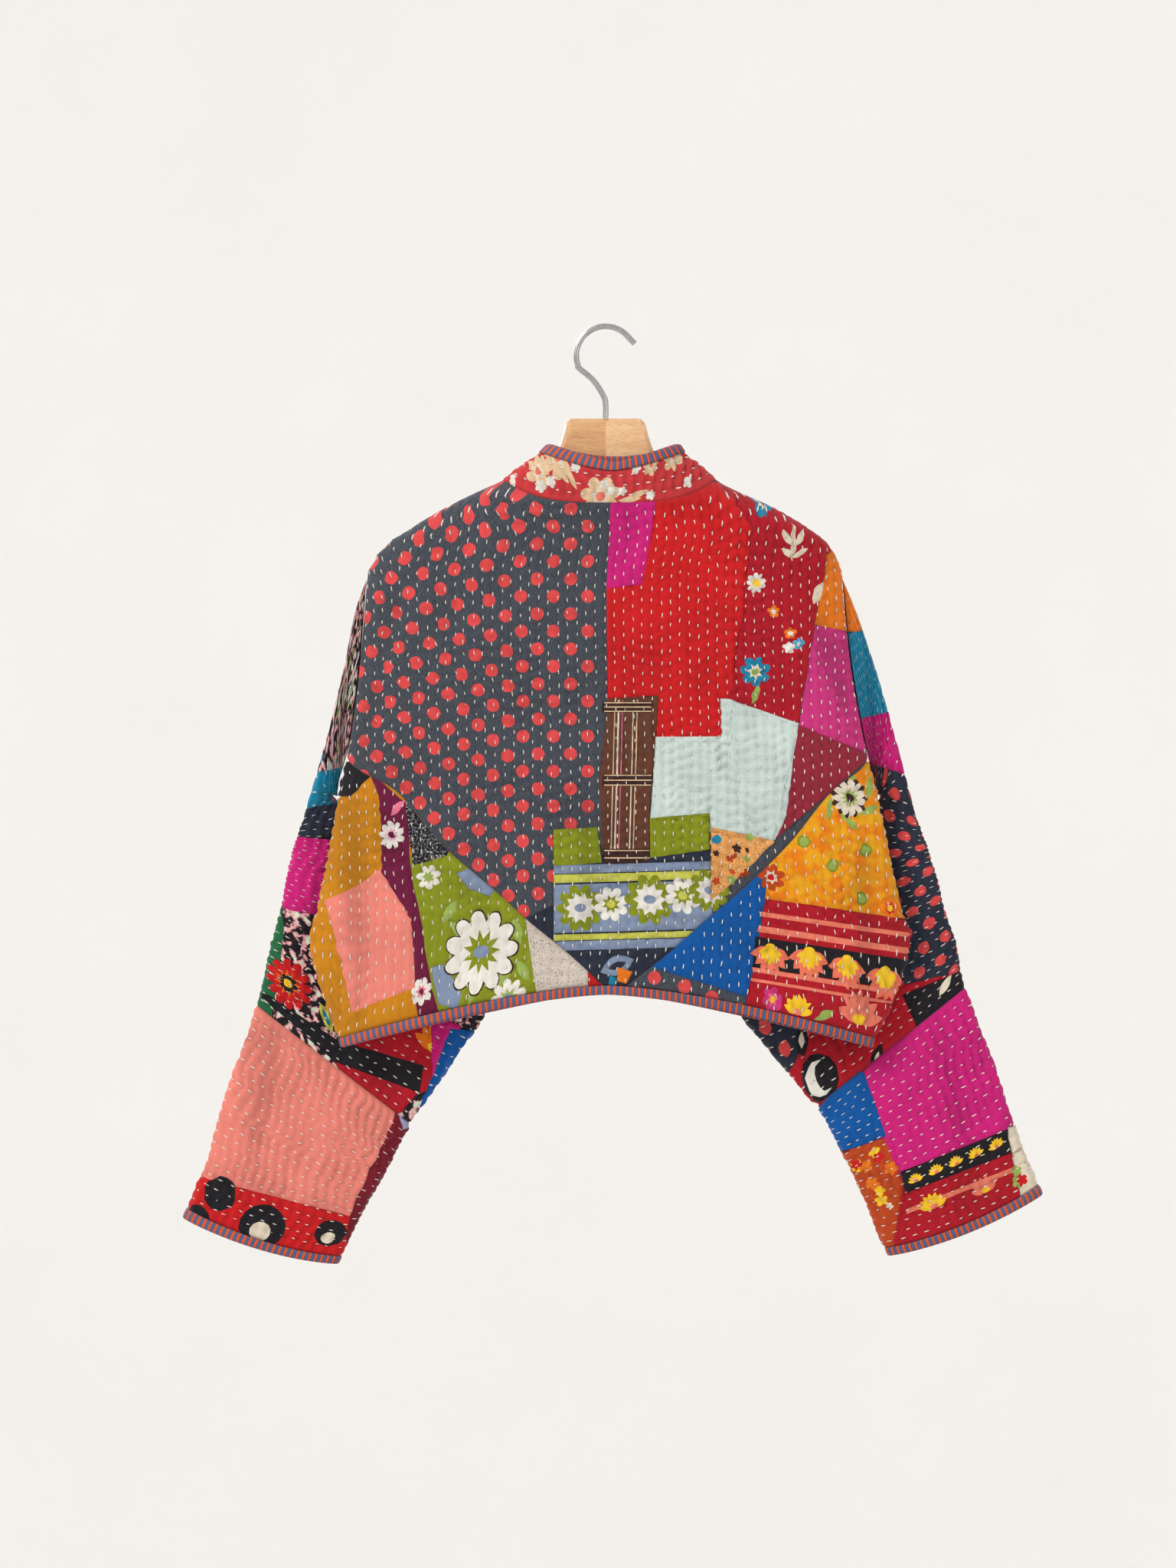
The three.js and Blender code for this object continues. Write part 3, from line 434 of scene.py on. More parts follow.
    def invert(self, x, z):
        """Where the visible half shows x and z: the nearest cell, then Newton's steps."""
        target = np.stack([x, z], -1)
        flat = self.across.reshape(-1, 2)
        near = np.array([np.argmin(((flat - point) ** 2).sum(1)) for point in target])
        columns = self.across.shape[1]
        i, j = (near // columns).astype(float), (near % columns).astype(float)
        for _ in range(self.STEPS):
            down = lookup(self.across, i + 0.5, j) - lookup(self.across, i - 0.5, j)
            over = lookup(self.across, i, j + 0.5) - lookup(self.across, i, j - 0.5)
            miss = target - lookup(self.across, i, j)
            area = down[:, 0] * over[:, 1] - down[:, 1] * over[:, 0]
            area = np.where(np.abs(area) < self.LEAST_AREA, self.LEAST_AREA, area)
            step_i = (miss[:, 0] * over[:, 1] - miss[:, 1] * over[:, 0]) / area
            step_j = (down[:, 0] * miss[:, 1] - down[:, 1] * miss[:, 0]) / area
            i += np.clip(step_i, -self.LONGEST_STEP, self.LONGEST_STEP) * self.EASE
            i = np.clip(i, 0.6, self.REACHES - 0.6)
            j += np.clip(step_j, -self.LONGEST_STEP, self.LONGEST_STEP) * self.EASE
            j = np.clip(j, 0, columns - 1.0)
        miss = target - lookup(self.across, i, j)
        over = lookup(self.across, i, j + 0.5) - lookup(self.across, i, j - 0.5)
        over /= np.linalg.norm(over, axis=1)[:, None] + 1e-9
        at_edge = (j < 0.05) | (j > columns - 1.05)
        beyond = np.where(at_edge, (miss * over).sum(1), 0)
        length = lookup(self.across_length, i, j) + beyond
        return np.stack([self.sign * length, -i / self.REACHES * self.end], -1)


SLEEVE = {side: Sleeve(side) for side in ("left", "right")}


# Flat shapes, in millimetres on the cloth.
def area_of(polygon):
    x, y = polygon[:, 0], polygon[:, 1]
    return 0.5 * float(np.sum(x * np.roll(y, -1) - np.roll(x, -1) * y))


def inside(points, polygon):
    x, y = points[:, 0], points[:, 1]
    odd = np.zeros(len(points), bool)
    for (x0, y0), (x1, y1) in zip(polygon, np.roll(polygon, -1, axis=0)):
        crosses = (y0 > y) != (y1 > y)
        with np.errstate(divide="ignore", invalid="ignore"):
            odd ^= crosses & (x < (x1 - x0) * (y - y0) / (y1 - y0) + x0)
    return odd


def ring_shape(centre, radius, count=12, wave=0.0, petals=0, turn=0.0, tall=1.0):
    """A disc, an oval or, with petals, a flower's outline."""
    count = max(count, petals * 8)
    t = np.arange(count) / count * 2 * math.pi
    r = radius * (1 - wave * (1 - np.abs(np.cos(petals * t / 2)) ** 0.7))
    return centre + np.stack([r * np.cos(t + turn), r * np.sin(t + turn) * tall], -1)


def star_shape(centre, radius, points=8, waist=0.55, turn=0.0):
    t = np.arange(points * 2) * math.pi / points + turn
    r = np.where(np.arange(points * 2) % 2 == 0, radius, radius * waist)
    return centre + np.stack([r * np.cos(t), r * np.sin(t)], -1)


def leaf_shape(centre, length, width, lean):
    t = np.linspace(-1, 1, 7)
    half = width / 2 * (1 - t**2)
    x = np.concatenate([t, t[-2:0:-1]]) * length / 2
    y = np.concatenate([half, -half[-2:0:-1]])
    turned = [x * math.cos(lean) - y * math.sin(lean), x * math.sin(lean) + y * math.cos(lean)]
    return centre + np.stack(turned, -1)


class Design:
    """The layers of colour on a panel, from the ground up. Places are pixels of the photograph."""

    def __init__(self, domain):
        self.domain = domain
        self.layers = []

    def at(self, *points):
        return self.domain.invert(*from_pixels(points))

    def patch(self, colour, *points, kind="cotton"):
        """A sewn-on patch: a polygon that stands up a little from what is under it."""
        self.layers.append((colour, self.at(*densified(points, 14)), kind, True))

    def mark(self, colour, *points, kind="cotton"):
        """A printed polygon."""
        self.layers.append((colour, self.at(*densified(points, 16)), kind, False))

    def band(self, colour, top, bottom, kind="cotton"):
        """A patch all round a sleeve, between two lines. Each line is two pixels that it runs through."""
        edges = [self.domain.line_round(*from_pixels(line), past) for line, past in ((top, 9), (bottom, 4))]
        self.layers.append((colour, np.concatenate([edges[0], edges[1][::-1]]), kind, True))

    def shape(self, colour, polygon):
        self.layers.append((colour, polygon, "cotton", False))

    def disc(self, colour, x, y, radius, **shape):
        self.shape(colour, ring_shape(self.at((x, y))[0], radius * PIXEL, **shape))

    def star(self, colour, x, y, radius, **shape):
        self.shape(colour, star_shape(self.at((x, y))[0], radius * PIXEL, **shape))

    def leaf(self, colour, x, y, length, width, lean):
        self.shape(colour, leaf_shape(self.at((x, y))[0], length * PIXEL, width * PIXEL, lean))

    def flower(self, x, y, radius, petals, colour, heart, eye=None, turn=0.3):
        """A round flower with petals, a starry heart and an eye."""
        self.disc(colour, x, y, radius, wave=0.35, petals=petals, turn=turn)
        self.star(heart, x, y, radius * 0.55, points=petals, turn=turn)
        if eye:
            self.disc(eye, x, y, radius * 0.24, count=10)

    def lotus(self, x, y, radius, petals, fan, lean=0.0):
        """A lotus seen from its side: a fan of petals round a smaller fan."""
        for share in (-1, 1, -0.66, 0.66, -0.33, 0.33, 0):
            angle = math.pi / 2 + share * 1.3 + lean
            centre = self.at((x, y))[0] + radius * 0.6 * PIXEL * np.array(
                [math.cos(angle), math.sin(angle)]
            )
            self.shape(petals, leaf_shape(centre, radius * 1.3 * PIXEL, radius * 0.52 * PIXEL, angle))
        self.disc(fan, x, y - radius * 0.1, radius * 0.36, tall=0.6)

    def sprinkle(self, colours, top, bottom, count, radius, seed):
        """Small printed flowers all round a sleeve, between two reaches."""
        rng = np.random.default_rng(seed)
        for k in range(count):
            centre = (self.domain.sign * rng.uniform(-70, 230), rng.uniform(bottom, top))
            self.shape(
                colours[k % len(colours)],
                ring_shape(
                    centre, radius * rng.uniform(0.5, 1.2), wave=0.5, petals=5, turn=rng.uniform(0, 3)
                )
            )

    def scatter(self, colours, x0, y0, x1, y1, count, radius, seed, petals=5):
        """Small printed flowers spread over a box of the photograph."""
        rng = np.random.default_rng(seed)
        for k in range(count):
            x, y = rng.uniform(x0, x1), rng.uniform(y0, y1)
            size = radius * rng.uniform(0.6, 1.3)
            self.disc(
                colours[k % len(colours)], x, y, size, wave=0.4, petals=petals, turn=rng.uniform(0, 3)
            )


DOT = 8.6


def polka(design, right):
    """Dots in a slightly bent lattice over the slate ground, up to a line on the right."""
    for column in range(18):
        for row in range(-4, 15):
            y = 667 + 45.4 * row + 22.5 * (column % 2) + 2.6 * max(0, column - 5)
            bend = 0.012 * max(0, column - 3) * min(max(y - 700, 0), 200)
            x = 790 - 22.4 * column + 0.045 * column * column + bend
            if x < right:
                design.disc("dot", x, y, DOT)


MAGENTA = [(798, 640), (862, 640), (858, 657), (838, 765), (792, 770)]
RED = [
    (858, 640), (960, 628), (982, 691), (967, 807), (954, 899), (954, 970), (850, 970), (850, 920),
    (793, 920), (792, 770), (838, 765), (858, 657)
]
DARK_RED = [
    (934, 620), (1110, 690), (1088, 708), (1064, 817), (1040, 949), (950, 915), (954, 899), (967, 807),
    (982, 691)
]


def back_design():
    design = Design(BODY)
    polka(design, 786)
    design.patch("magenta", *MAGENTA)
    design.patch("red", *RED)
    design.patch("dark_red", *DARK_RED)
    design.flower(990, 657, 13, 8, "teal", "cream", "dark_red")
    for dx, dy, lean in (
        (0, 0, 1.5), (-9, -12, 2.3), (9, -12, 0.9), (-8, 8, 2.6), (8, 8, 0.5), (0, -17, 1.6)
    ):
        design.leaf("cream", 1036 + dx, 716 + dy, 22, 8, lean)
    design.flower(986, 763, 13, 9, "white", "sun")
    for x, y, colour in (
        (1030, 828, "orange"), (1041, 842, "sky"), (1029, 847, "white"), (1008, 800, "orange")
    ):
        design.flower(x, y, 8, 5, colour, "white")
    design.flower(985, 878, 20, 7, "teal", "cream", "leaf")
    design.leaf("leaf", 985, 908, 26, 9, 1.2)
    design.leaf("cream", 1069, 775, 34, 16, 1.0)
    design.patch("orange", (1086, 700), (1110, 700), (1112, 829), (1064, 816))
    design.patch("pink", (1064, 817), (1112, 826), (1140, 990), (1041, 950))
    design.patch("brown_red", (1041, 947), (1140, 987), (1007, 1100), (1012, 1075))
    design.patch(
        "brown", (794, 913), (860, 909), (856, 963), (848, 1064), (848, 1140), (788, 1140), (783, 1018)
    )
    for x, width, colour in (
        (803, 1.5, "tan"), (808, 2.2, "cream"), (813, 1.2, "rose"), (827, 1.6, "cream"), (832, 1.6, "tan")
    ):
        design.mark(
            colour, (x - width / 2, 915), (x + width / 2, 915), (x + width / 2 - 6, 1138),
            (x - width / 2 - 6, 1138)
        )
    for top, tall in ((917, 14), (1011, 16), (1108, 24)):
        design.mark("line", (787, top), (853, top), (850, top + tall), (786, top + tall))
        for share in (0.1, 0.5, 0.9):
            y = top + tall * share
            design.mark("tan", (789, y - 0.7), (850, y - 0.7), (850, y + 0.7), (789, y + 0.7))
    design.patch(
        "mint", (940, 913), (950, 913), (1041, 945), (1024, 1073), (1009, 1100), (926, 1086), (925, 1066),
        (848.7, 1073), (856, 962.6), (941, 962), kind="check"
    )
    border_design(design)
    return design


def border_design(design):
    """The green and blue border print that runs across the back's point."""
    design.patch(
        "navy", (723, 1083), (780, 1080), (790, 1130), (848, 1130), (848, 1070), (926, 1062), (930, 1180),
        (930, 1240), (800, 1300), (770, 1300), (685, 1200), (723, 1180)
    )
    design.patch("olive", (723, 1083), (780, 1080), (786, 1126), (723, 1132))
    design.patch("olive", (848, 1068), (926, 1062), (927, 1109), (849, 1120))
    for top, bottom, colour in (
        (1130, 1141, "grey_blue"), (1142, 1153, "lime"), (1155, 1218, "grey_blue"), (1220, 1228, "lime"),
        (1229, 1241, "grey_blue")
    ):
        design.mark(colour, (723, top), (930, top - 6), (930, bottom - 6), (723, bottom))
    for x, y, radius, green in (
        (758, 1185, 31, True), (798, 1180, 23, False), (848, 1174, 33, True), (891, 1169, 24, False),
        (926, 1162, 28, True)
    ):
        if green:
            design.disc("olive", x, y, radius, wave=0.3, petals=10)
            design.star("white", x, y, radius * 0.66, points=10, waist=0.7)
            design.disc("grey_blue", x, y, radius * 0.25, tall=0.7)
        else:
            design.flower(x, y, radius, 8, "white", "olive", "lime")
    design.leaf("grey_blue", 806, 1260, 46, 26, 0.4)
    design.leaf("navy", 806, 1260, 24, 10, 0.4)
    design.mark("orange", (806, 1262), (826, 1268), (818, 1284), (806, 1280))
    design.mark("teal", (796, 1272), (806, 1276), (802, 1290), (794, 1284))
    design.patch(
        "light_orange", (928, 1080), (990, 1093), (1012, 1098), (960, 1150), (928, 1176), kind="speckle"
    )
    design.scatter(("rust", "line", "rust", "leaf"), 932, 1092, 985, 1150, 12, 5, 5)
    design.disc("teal", 935, 1096, 6)


def gusset_right_design():
    design = Design(BODY)
    design.patch("blue", (1009, 1090), (1020, 1095), (973, 1310), (900, 1300), (818, 1257))
    polka_strip(design)
    design.patch(
        "yellow", (1135, 975), (1200, 1000), (1200, 1202), (998, 1173), (1010, 1085), kind="mottled"
    )
    for k in range(6):
        lean = 0.5 + k * math.pi / 3
        design.leaf("leaf", 1108 + 31 * math.cos(lean), 1042 - 31 * math.sin(lean), 30, 9, lean + 0.9)
    design.disc("line", 1108, 1042, 25, wave=0.35, petals=11)
    design.flower(1108, 1042, 22.5, 11, "cream", "leaf", "line")
    for x, y in ((1047, 1099), (1130, 1110), (1085, 1130), (1126, 1173)):
        design.disc("olive", x, y, 8, count=12)
        design.disc("leaf", x, y, 5.6, count=10)
    design.flower(1162, 1186, 15, 6, "orange", "red", "sun")
    design.flower(1006, 1145, 17, 7, "rust", "cream", "red")
    design.patch("dark_red", (998, 1173), (1210, 1205), (1220, 1430), (975, 1340))
    design.mark("salmon", (993, 1190), (1215, 1222), (1215, 1228), (992, 1196))
    design.mark("salmon", (990, 1208), (1215, 1242), (1215, 1250), (988, 1216))
    design.mark("black", (985, 1222), (1215, 1258), (1215, 1298), (982, 1262))
    for x, y in ((1005, 1245), (1054, 1250), (1105, 1261), (1157, 1276)):
        design.lotus(x, y - 6, 21, "lotus", "sun", math.pi)
        design.lotus(x, y - 6, 13, "sun", "sun", math.pi)
    design.mark("salmon", (982, 1262), (1215, 1300), (1215, 1306), (982, 1268))
    design.mark("salmon", (980, 1276), (1215, 1316), (1215, 1320), (980, 1280))
    design.flower(1007, 1304, 14, 6, "pink", "salmon", "sun")
    design.lotus(1040, 1322, 16, "sun", "salmon")
    design.lotus(1121, 1333, 25, "salmon", "sun")
    design.leaf("leaf", 1075, 1325, 28, 9, 0.5)
    return design


def gusset_left_design():
    design = Design(BODY)
    design.patch("black", (452, 975), (485, 1013), (457, 1040), (380, 1040), (380, 975))
    design.patch(
        "coral", (427, 1176), (469, 1154), (498, 1134), (535, 1117), (537, 1140), (560, 1269),
        (541, 1290), (460, 1321)
    )
    design.patch(
        "maroon", (480, 1005), (535, 1053), (536, 1117), (568, 1291), (577, 1345), (548, 1350),
        (538, 1200), (500, 1140), (496, 1040)
    )
    design.flower(512, 1090, 17, 9, "white", "pale_pink", "maroon")
    design.flower(553, 1294, 15, 7, "white", "rose", "maroon")
    design.leaf("rose", 520, 1055, 26, 9, 0.8)
    design.patch("olive", (536, 1117), (594, 1113), (690, 1196), (706, 1330), (577, 1340), (560, 1250))
    design.patch("black", (530, 1046), (590, 1104), (584, 1117), (540, 1130), kind="scribble")
    design.flower(561, 1145, 15, 7, "white", "leaf")
    design.mark("grey_blue", (596, 1140), (612, 1134), (650, 1158), (640, 1170), (612, 1160))
    design.mark("grey_blue", (566, 1262), (580, 1258), (604, 1296), (598, 1318), (574, 1310))
    for x, y, lean in (
        (654, 1280, 0.6), (683, 1266, 2.2), (619, 1292, 1.2), (588, 1190, 0.9), (676, 1215, 1.9),
        (600, 1215, 2.4)
    ):
        design.leaf("leaf", x, y, 34, 13, lean)
    design.disc("line", 630, 1242, 49, wave=0.26, petals=11)
    design.disc("white", 630, 1242, 47, wave=0.3, petals=11)
    design.star("olive", 630, 1242, 25, points=11)
    design.disc("grey_blue", 630, 1242, 10, tall=0.7)
    design.flower(664, 1303, 24, 9, "white", "leaf", "grey_blue")
    design.patch("beige", (685, 1190), (772, 1268), (775, 1300), (706, 1330), kind="speckle")
    design.patch("red", (768, 1262), (792, 1280), (792, 1310), (768, 1302))
    return design


def polka_strip(design):
    design.patch("slate", (813, 1250), (973, 1300), (990, 1400), (800, 1330), kind="heather")
    for x, y in ((854, 1276), (893, 1287), (929, 1302), (966, 1318), (830, 1296), (874, 1306), (912, 1318)):
        design.disc("dot", x, y, DOT)


FRONT_PATCHES = {
    "left": ("mint", "red", "slate", "mustard", "coral"),
    "right": ("blue", "yellow", "magenta", "mint", "olive"),
}


def front_design(side):
    """The fronts aren't seen in the photograph. They get the back's cloths in larger plain patches."""
    design = Design(BODY)
    kinds = {"mint": "check", "slate": "heather", "mustard": "mottled", "yellow": "mottled"}
    tops = (-100, -230, -310, -395, -480, -600)
    for k, colour in enumerate(FRONT_PATCHES[side]):
        low, high = (150, 520) if k % 2 else (330, 520)
        corners = [(low, tops[k]), (high, tops[k]), (high, tops[k + 1]), (low, tops[k + 1])]
        polygon = densified(np.array(corners, float) * (SIGN[side], 1), 12)
        design.layers.append((colour, polygon, kinds.get(colour, "cotton"), True))
    return design


def sleeve_left_design():
    design = Design(SLEEVE["left"])
    design.sprinkle(("rose", "mint", "pale_pink", "leaf", "mint"), 0, -170, 150, 5.5, 11)
    design.band("teal", ((400, 1010), (440, 1004)), ((400, 1056), (440, 1048)))
    design.band("navy", ((400, 1056), (440, 1048)), ((400, 1096), (440, 1092)))
    design.sprinkle(("sky", "rose", "sky"), -118, -150, 26, 4.5, 12)
    design.band("magenta", ((380, 1092), (440, 1098)), ((360, 1186), (440, 1200)))
    design.patch("green", (290, 1180), (369, 1180), (368, 1240), (352, 1330), (290, 1320))
    for x, y in ((355, 1272), (346, 1305), (352, 1225), (360, 1198)):
        design.disc("white", x, y, 5)
    design.patch("dark_red", (436, 1370), (560, 1330), (640, 1380), (543, 1430), (500, 1480), (436, 1390))
    design.lotus(563, 1372, 24, "orange", "sun")
    design.mark("black", (337, 1300), (350, 1300), (440, 1360), (550, 1392), (545, 1428), (436, 1388))
    design.flower(375, 1285, 36, 12, "red", "orange", "sun")
    design.disc("black", 375, 1285, 14, wave=0.3, petals=8)
    design.disc("sun", 375, 1285, 6)
    design.leaf("lime", 425, 1330, 40, 14, 2.4)
    design.leaf("teal", 425, 1330, 22, 6, 2.4)
    design.patch("magenta", (562, 1330), (600, 1340), (600, 1400), (560, 1420))
    design.patch("blue", (586, 1345), (640, 1350), (600, 1470), (540, 1460))
    return design


def sleeve_right_design():
    design = Design(SLEEVE["right"])
    for row in range(18):
        for column in range(-5, 15):
            centre = (-22 * column - 11 * (row % 2), -60 - 19.5 * row)
            design.shape("dot", ring_shape(centre, 5.8))
    design.band("orange", ((1100, 600), (1150, 600)), ((1100, 826), (1150, 820)))
    design.band("teal", ((1100, 828), (1150, 818)), ((1120, 940), (1165, 928)))
    design.band("magenta", ((1120, 940), (1165, 928)), ((1120, 992), (1180, 1010)))
    design.patch(
        "dark_red", (1070, 1330), (1168, 1290), (1290, 1262), (1330, 1310), (1264, 1292), (1073, 1460),
        (1000, 1470)
    )
    design.patch("black", (1180, 1300), (1290, 1255), (1300, 1290), (1264, 1296), (1200, 1345))
    design.leaf("cream", 1236, 1287, 30, 14, 0.6)
    design.disc("black", 1073, 1410, 25)
    design.disc("white", 1073, 1410, 18)
    design.disc("black", 1080, 1405, 15)
    for x, y, lean in ((1049, 1359, 1.2), (1146, 1384, 0.7), (1110, 1350, 2.0)):
        design.leaf("black", x, y, 36, 17, lean)
        design.leaf("cream", x, y, 18, 6, lean)
    return design


def forearm_left_design():
    design = Design(SLEEVE["left"])
    design.patch("deep_red", (516, 1455), (640, 1400), (560, 1700), (430, 1660), (456, 1590))
    design.patch("lavender", (520, 1440), (560, 1430), (548, 1470), (522, 1476))
    design.patch("red", (200, 1525), (258, 1537), (456, 1590), (436, 1700), (180, 1640))
    for x, y, radius, heart in (
        (342, 1603, 30, True), (287, 1560, 21, False), (431, 1612, 20, True), (256, 1592, 17, False)
    ):
        design.disc("black", x, y, radius, count=16)
        if heart:
            design.disc("cream", x - 3, y + 6, radius * 0.45)
    return design


def forearm_right_design():
    design = Design(SLEEVE["right"])
    design.patch(
        "magenta", (1240, 1270), (1290, 1280), (1340, 1479), (1211, 1534), (1171, 1546), (1146, 1491),
        (1131, 1430), (1131, 1399)
    )
    design.patch("blue", (1110, 1396), (1130, 1402), (1158, 1485), (1102, 1508), (1070, 1452))
    design.patch("rust", (1030, 1470), (1102, 1506), (1156, 1488), (1180, 1546), (1165, 1650), (1090, 1660))
    design.scatter(("sun", "red", "cream", "orange"), 1108, 1505, 1165, 1610, 14, 8, 21)
    design.patch("black", (1176, 1532), (1350, 1462), (1360, 1492), (1184, 1562))
    for k in range(6):
        x, y = 1198 + 26 * k, 1541 - 11 * k
        design.lotus(x, y + 2, 9, "sun", "lotus")
    design.patch("dark_red", (1182, 1560), (1362, 1490), (1420, 1620), (1170, 1680))
    design.mark("salmon", (1184, 1580), (1366, 1508), (1368, 1514), (1186, 1586))
    design.lotus(1221, 1577, 16, "sun", "salmon")
    design.lotus(1288, 1556, 15, "salmon", "sun")
    design.patch("cream", (1316, 1474), (1380, 1452), (1420, 1560), (1340, 1590))
    design.scatter(("red", "rust", "leaf"), 1326, 1480, 1365, 1570, 14, 7, 22)
    return design


def collar_design():
    design = Design(BODY)
    for x, y, radius in ((702, 616, 17), (727, 598, 22), (784, 651, 27), (881, 597, 15), (851, 609, 11)):
        design.flower(x, y, radius, 7, "tan", "cream", "salmon")
    for x, y, lean in ((732, 618, 2.4), (745, 626, 2.2), (833, 648, 0.3), (822, 655, 0.1)):
        design.leaf("tan", x, y, 30, 8, lean)
    for x, y in (
        (751, 611), (719, 631), (705, 637), (789, 635), (799, 643), (813, 644), (831, 614), (850, 649),
        (900, 630), (670, 628)
    ):
        design.disc("white", x, y, 6.5, wave=0.4, petals=5)
    return design


# Panels: a domain, an outline on the cloth, a design, and how the running stitches run.
GUSSET_POINT = 0.06  # the gussets end this far below the underarm's ring
STITCH_ROW = 8.0
STITCH_PITCH = 10.5
STITCH = {"long": 4.4, "wide": 0.95, "tall": 0.55, "clear": 0.12}
CHANNEL = 1.0
PUCKER, PUCKER_PITCH = 1.0, 9.2
SWELL, CRUMPLE = 1.1, 0.55
EDGE_FADE = 5
EDGE_DIP, EDGE_DIP_WIDE = 0.9, 1.8
PATCH_RISE, PATCH_DIP = 0.35, 0.55
SHALLOW = -0.9  # where the cloth starts to resist being drawn in
DEEPEST = -1.9
# Painted shade: the most that the tint of the lowest lying faces is darkened.
PAINTED_HOLLOW_SHADE = 0.3
OUTLINE_STEP = 2.4
BACKING_STEP = 9


def edge_path(level_from, level_to, edge, count):
    """Points up an edge of the body, between two levels."""
    levels = np.linspace(level_from, level_to, count)
    return np.stack([edge(levels), BODY.at("centre_back", levels)], -1)


def outline_between(start, top, up, down, counts):
    """Up one edge of the body and down another."""
    return np.concatenate([edge_path(start, top, up, counts[0]), edge_path(top, start, down, counts[1])])


PANEL_START = HEM + BODY.ring_gap(HEM)
PANEL_TOP = NECK - BODY.ring_gap(NECK)


def seamed(side, on_front, inward):
    """A panel's side edge, half a slanting seam in from the line below the underarm."""
    def edge(level):
        slant = np.where(level < UNDERARM, SLANT, 0) / 2
        return BODY.side_edge(side, level, on_front) + inward * slant
    return edge


def back_outline():
    edges = seamed("right", False, -1), seamed("left", False, 1)
    return outline_between(PANEL_START, PANEL_TOP, *edges, (160, 160))


def gusset_outline(side):
    edges = seamed(side, False, SIGN[side]), seamed(side, True, -SIGN[side])
    return outline_between(PANEL_START, UNDERARM - GUSSET_POINT, *edges, (80, 80))


def front_outline(side):
    inner = lambda level: SIGN[side] * BODY.front_seam(level)
    return outline_between(PANEL_START, PANEL_TOP, seamed(side, True, SIGN[side]), inner, (120, 60))


def collar_outline():
    top = COLLAR_TOP - BODY.ring_gap(COLLAR_TOP)
    return outline_between(NECK, top, BODY.front_seam, lambda level: -BODY.front_seam(level), (14, 14))


def sleeve_outline(side, part):
    sleeve = SLEEVE[side]
    start, end = (0, sleeve.seam - SEAM / 2) if part == "upper" else (
        sleeve.seam + SEAM / 2, sleeve.end - BINDING - SEAM
    )
    reach = np.linspace(start, end, 70)
    girth = sleeve.girth(-reach)
    edges = [np.stack([share * girth, -reach], -1) for share in SLEEVE_EDGES]
    return np.concatenate([edges[0], edges[1][::-1]]) * (sleeve.sign, 1)


def counter_clockwise(polygon):
    return polygon if area_of(polygon) > 0 else polygon[::-1]


def cut(outline, spots, layers):
    """A triangulation of the outline with the layers' edges in it, and each triangle's top layer."""
    polygons = [outline, *[counter_clockwise(polygon) for _, polygon, _, _ in layers]]
    points, faces = [], []
    for polygon in polygons:
        faces.append(list(range(len(points), len(points) + len(polygon))))
        points += polygon.tolist()
    points += spots.tolist()
    verts, _, tris, origins, _, inputs = delaunay_2d_cdt([Vector(p) for p in points], [], faces, 1, 1e-3)
    keep = [(tri, max(found)) for tri, found in zip(tris, inputs) if 0 in found]
    tris, tops = [list(tri) for tri, _ in keep], np.array([top for _, top in keep])
    return np.array([tuple(v) for v in verts]), tris, tops, origins


def grid_spots(outline, across, down, margin):
    low, high = outline.min(0), outline.max(0)
    u, v = np.meshgrid(np.arange(low[0], high[0], across), np.arange(low[1], high[1], down))
    u[::2] += across / 2
    spots = np.stack([u.ravel(), v.ravel()], -1)
    spots = spots[inside(spots, outline)]
    return spots[edge_distance(spots, outline) > margin]


def flat_tree(points):
    tree = KDTree(len(points))
    for k, (x, y) in enumerate(points):
        tree.insert((x, y, 0), k)
    tree.balance()
    return tree


def edge_distance(points, outline):
    tree = flat_tree(densified(outline, 1.5))
    return np.array([tree.find((x, y, 0))[2] for x, y in points])


def boundary_loop(tris):
    """The vertices round a panel's edge, in order."""
    directed = {(tri[k], tri[(k + 1) % 3]) for tri in tris for k in range(3)}
    following = {a: b for a, b in directed if (b, a) not in directed}
    start = next(iter(following))
    loop = [start]
    while following[loop[-1]] != start:
        loop.append(following[loop[-1]])
    return loop


def segment_distance(points, a, b):
    a, b = np.asarray(a), np.asarray(b)
    along = np.clip(((points - a) @ (b - a)) / ((b - a) @ (b - a)), 0, 1)
    return np.linalg.norm(points - (a + along[:, None] * (b - a)), axis=1), along


def relief(points, edge, stitched, creases, seed):
    """How far the cloth stands out: channels between stitch rows, puckers across them, creases."""
    u, v = points[:, 0], points[:, 1]
    row, run = (u, v) if stitched == "down" else (v, u)
    channel = CHANNEL * (np.abs(np.sin(math.pi * row / STITCH_ROW)) - 0.6)
    phase = 2.4 * noise(row, run, STITCH_ROW * 1.6, 60, seed)
    strength = 0.75 + 0.5 * noise(row, run, 40, 40, seed + 1)
    pucker = PUCKER * np.sin(2 * math.pi * run / PUCKER_PITCH + 2.2 * phase) * strength
    swell = SWELL * noise(u, v, 62, 48, seed + 2) + CRUMPLE * noise(row, run, 9, 21, seed + 3)
    lift = channel + pucker + swell
    for a, b, width, height in creases:
        distance, along = segment_distance(points, a, b)
        swelling = np.sin(math.pi * np.clip(along, 0.06, 0.94)) ** 0.5
        lift += height * np.exp(-(distance / width) ** 2) * swelling
    return lift * np.clip(edge / EDGE_FADE, 0, 1) - EDGE_DIP * np.exp(-(edge / EDGE_DIP_WIDE) ** 2)


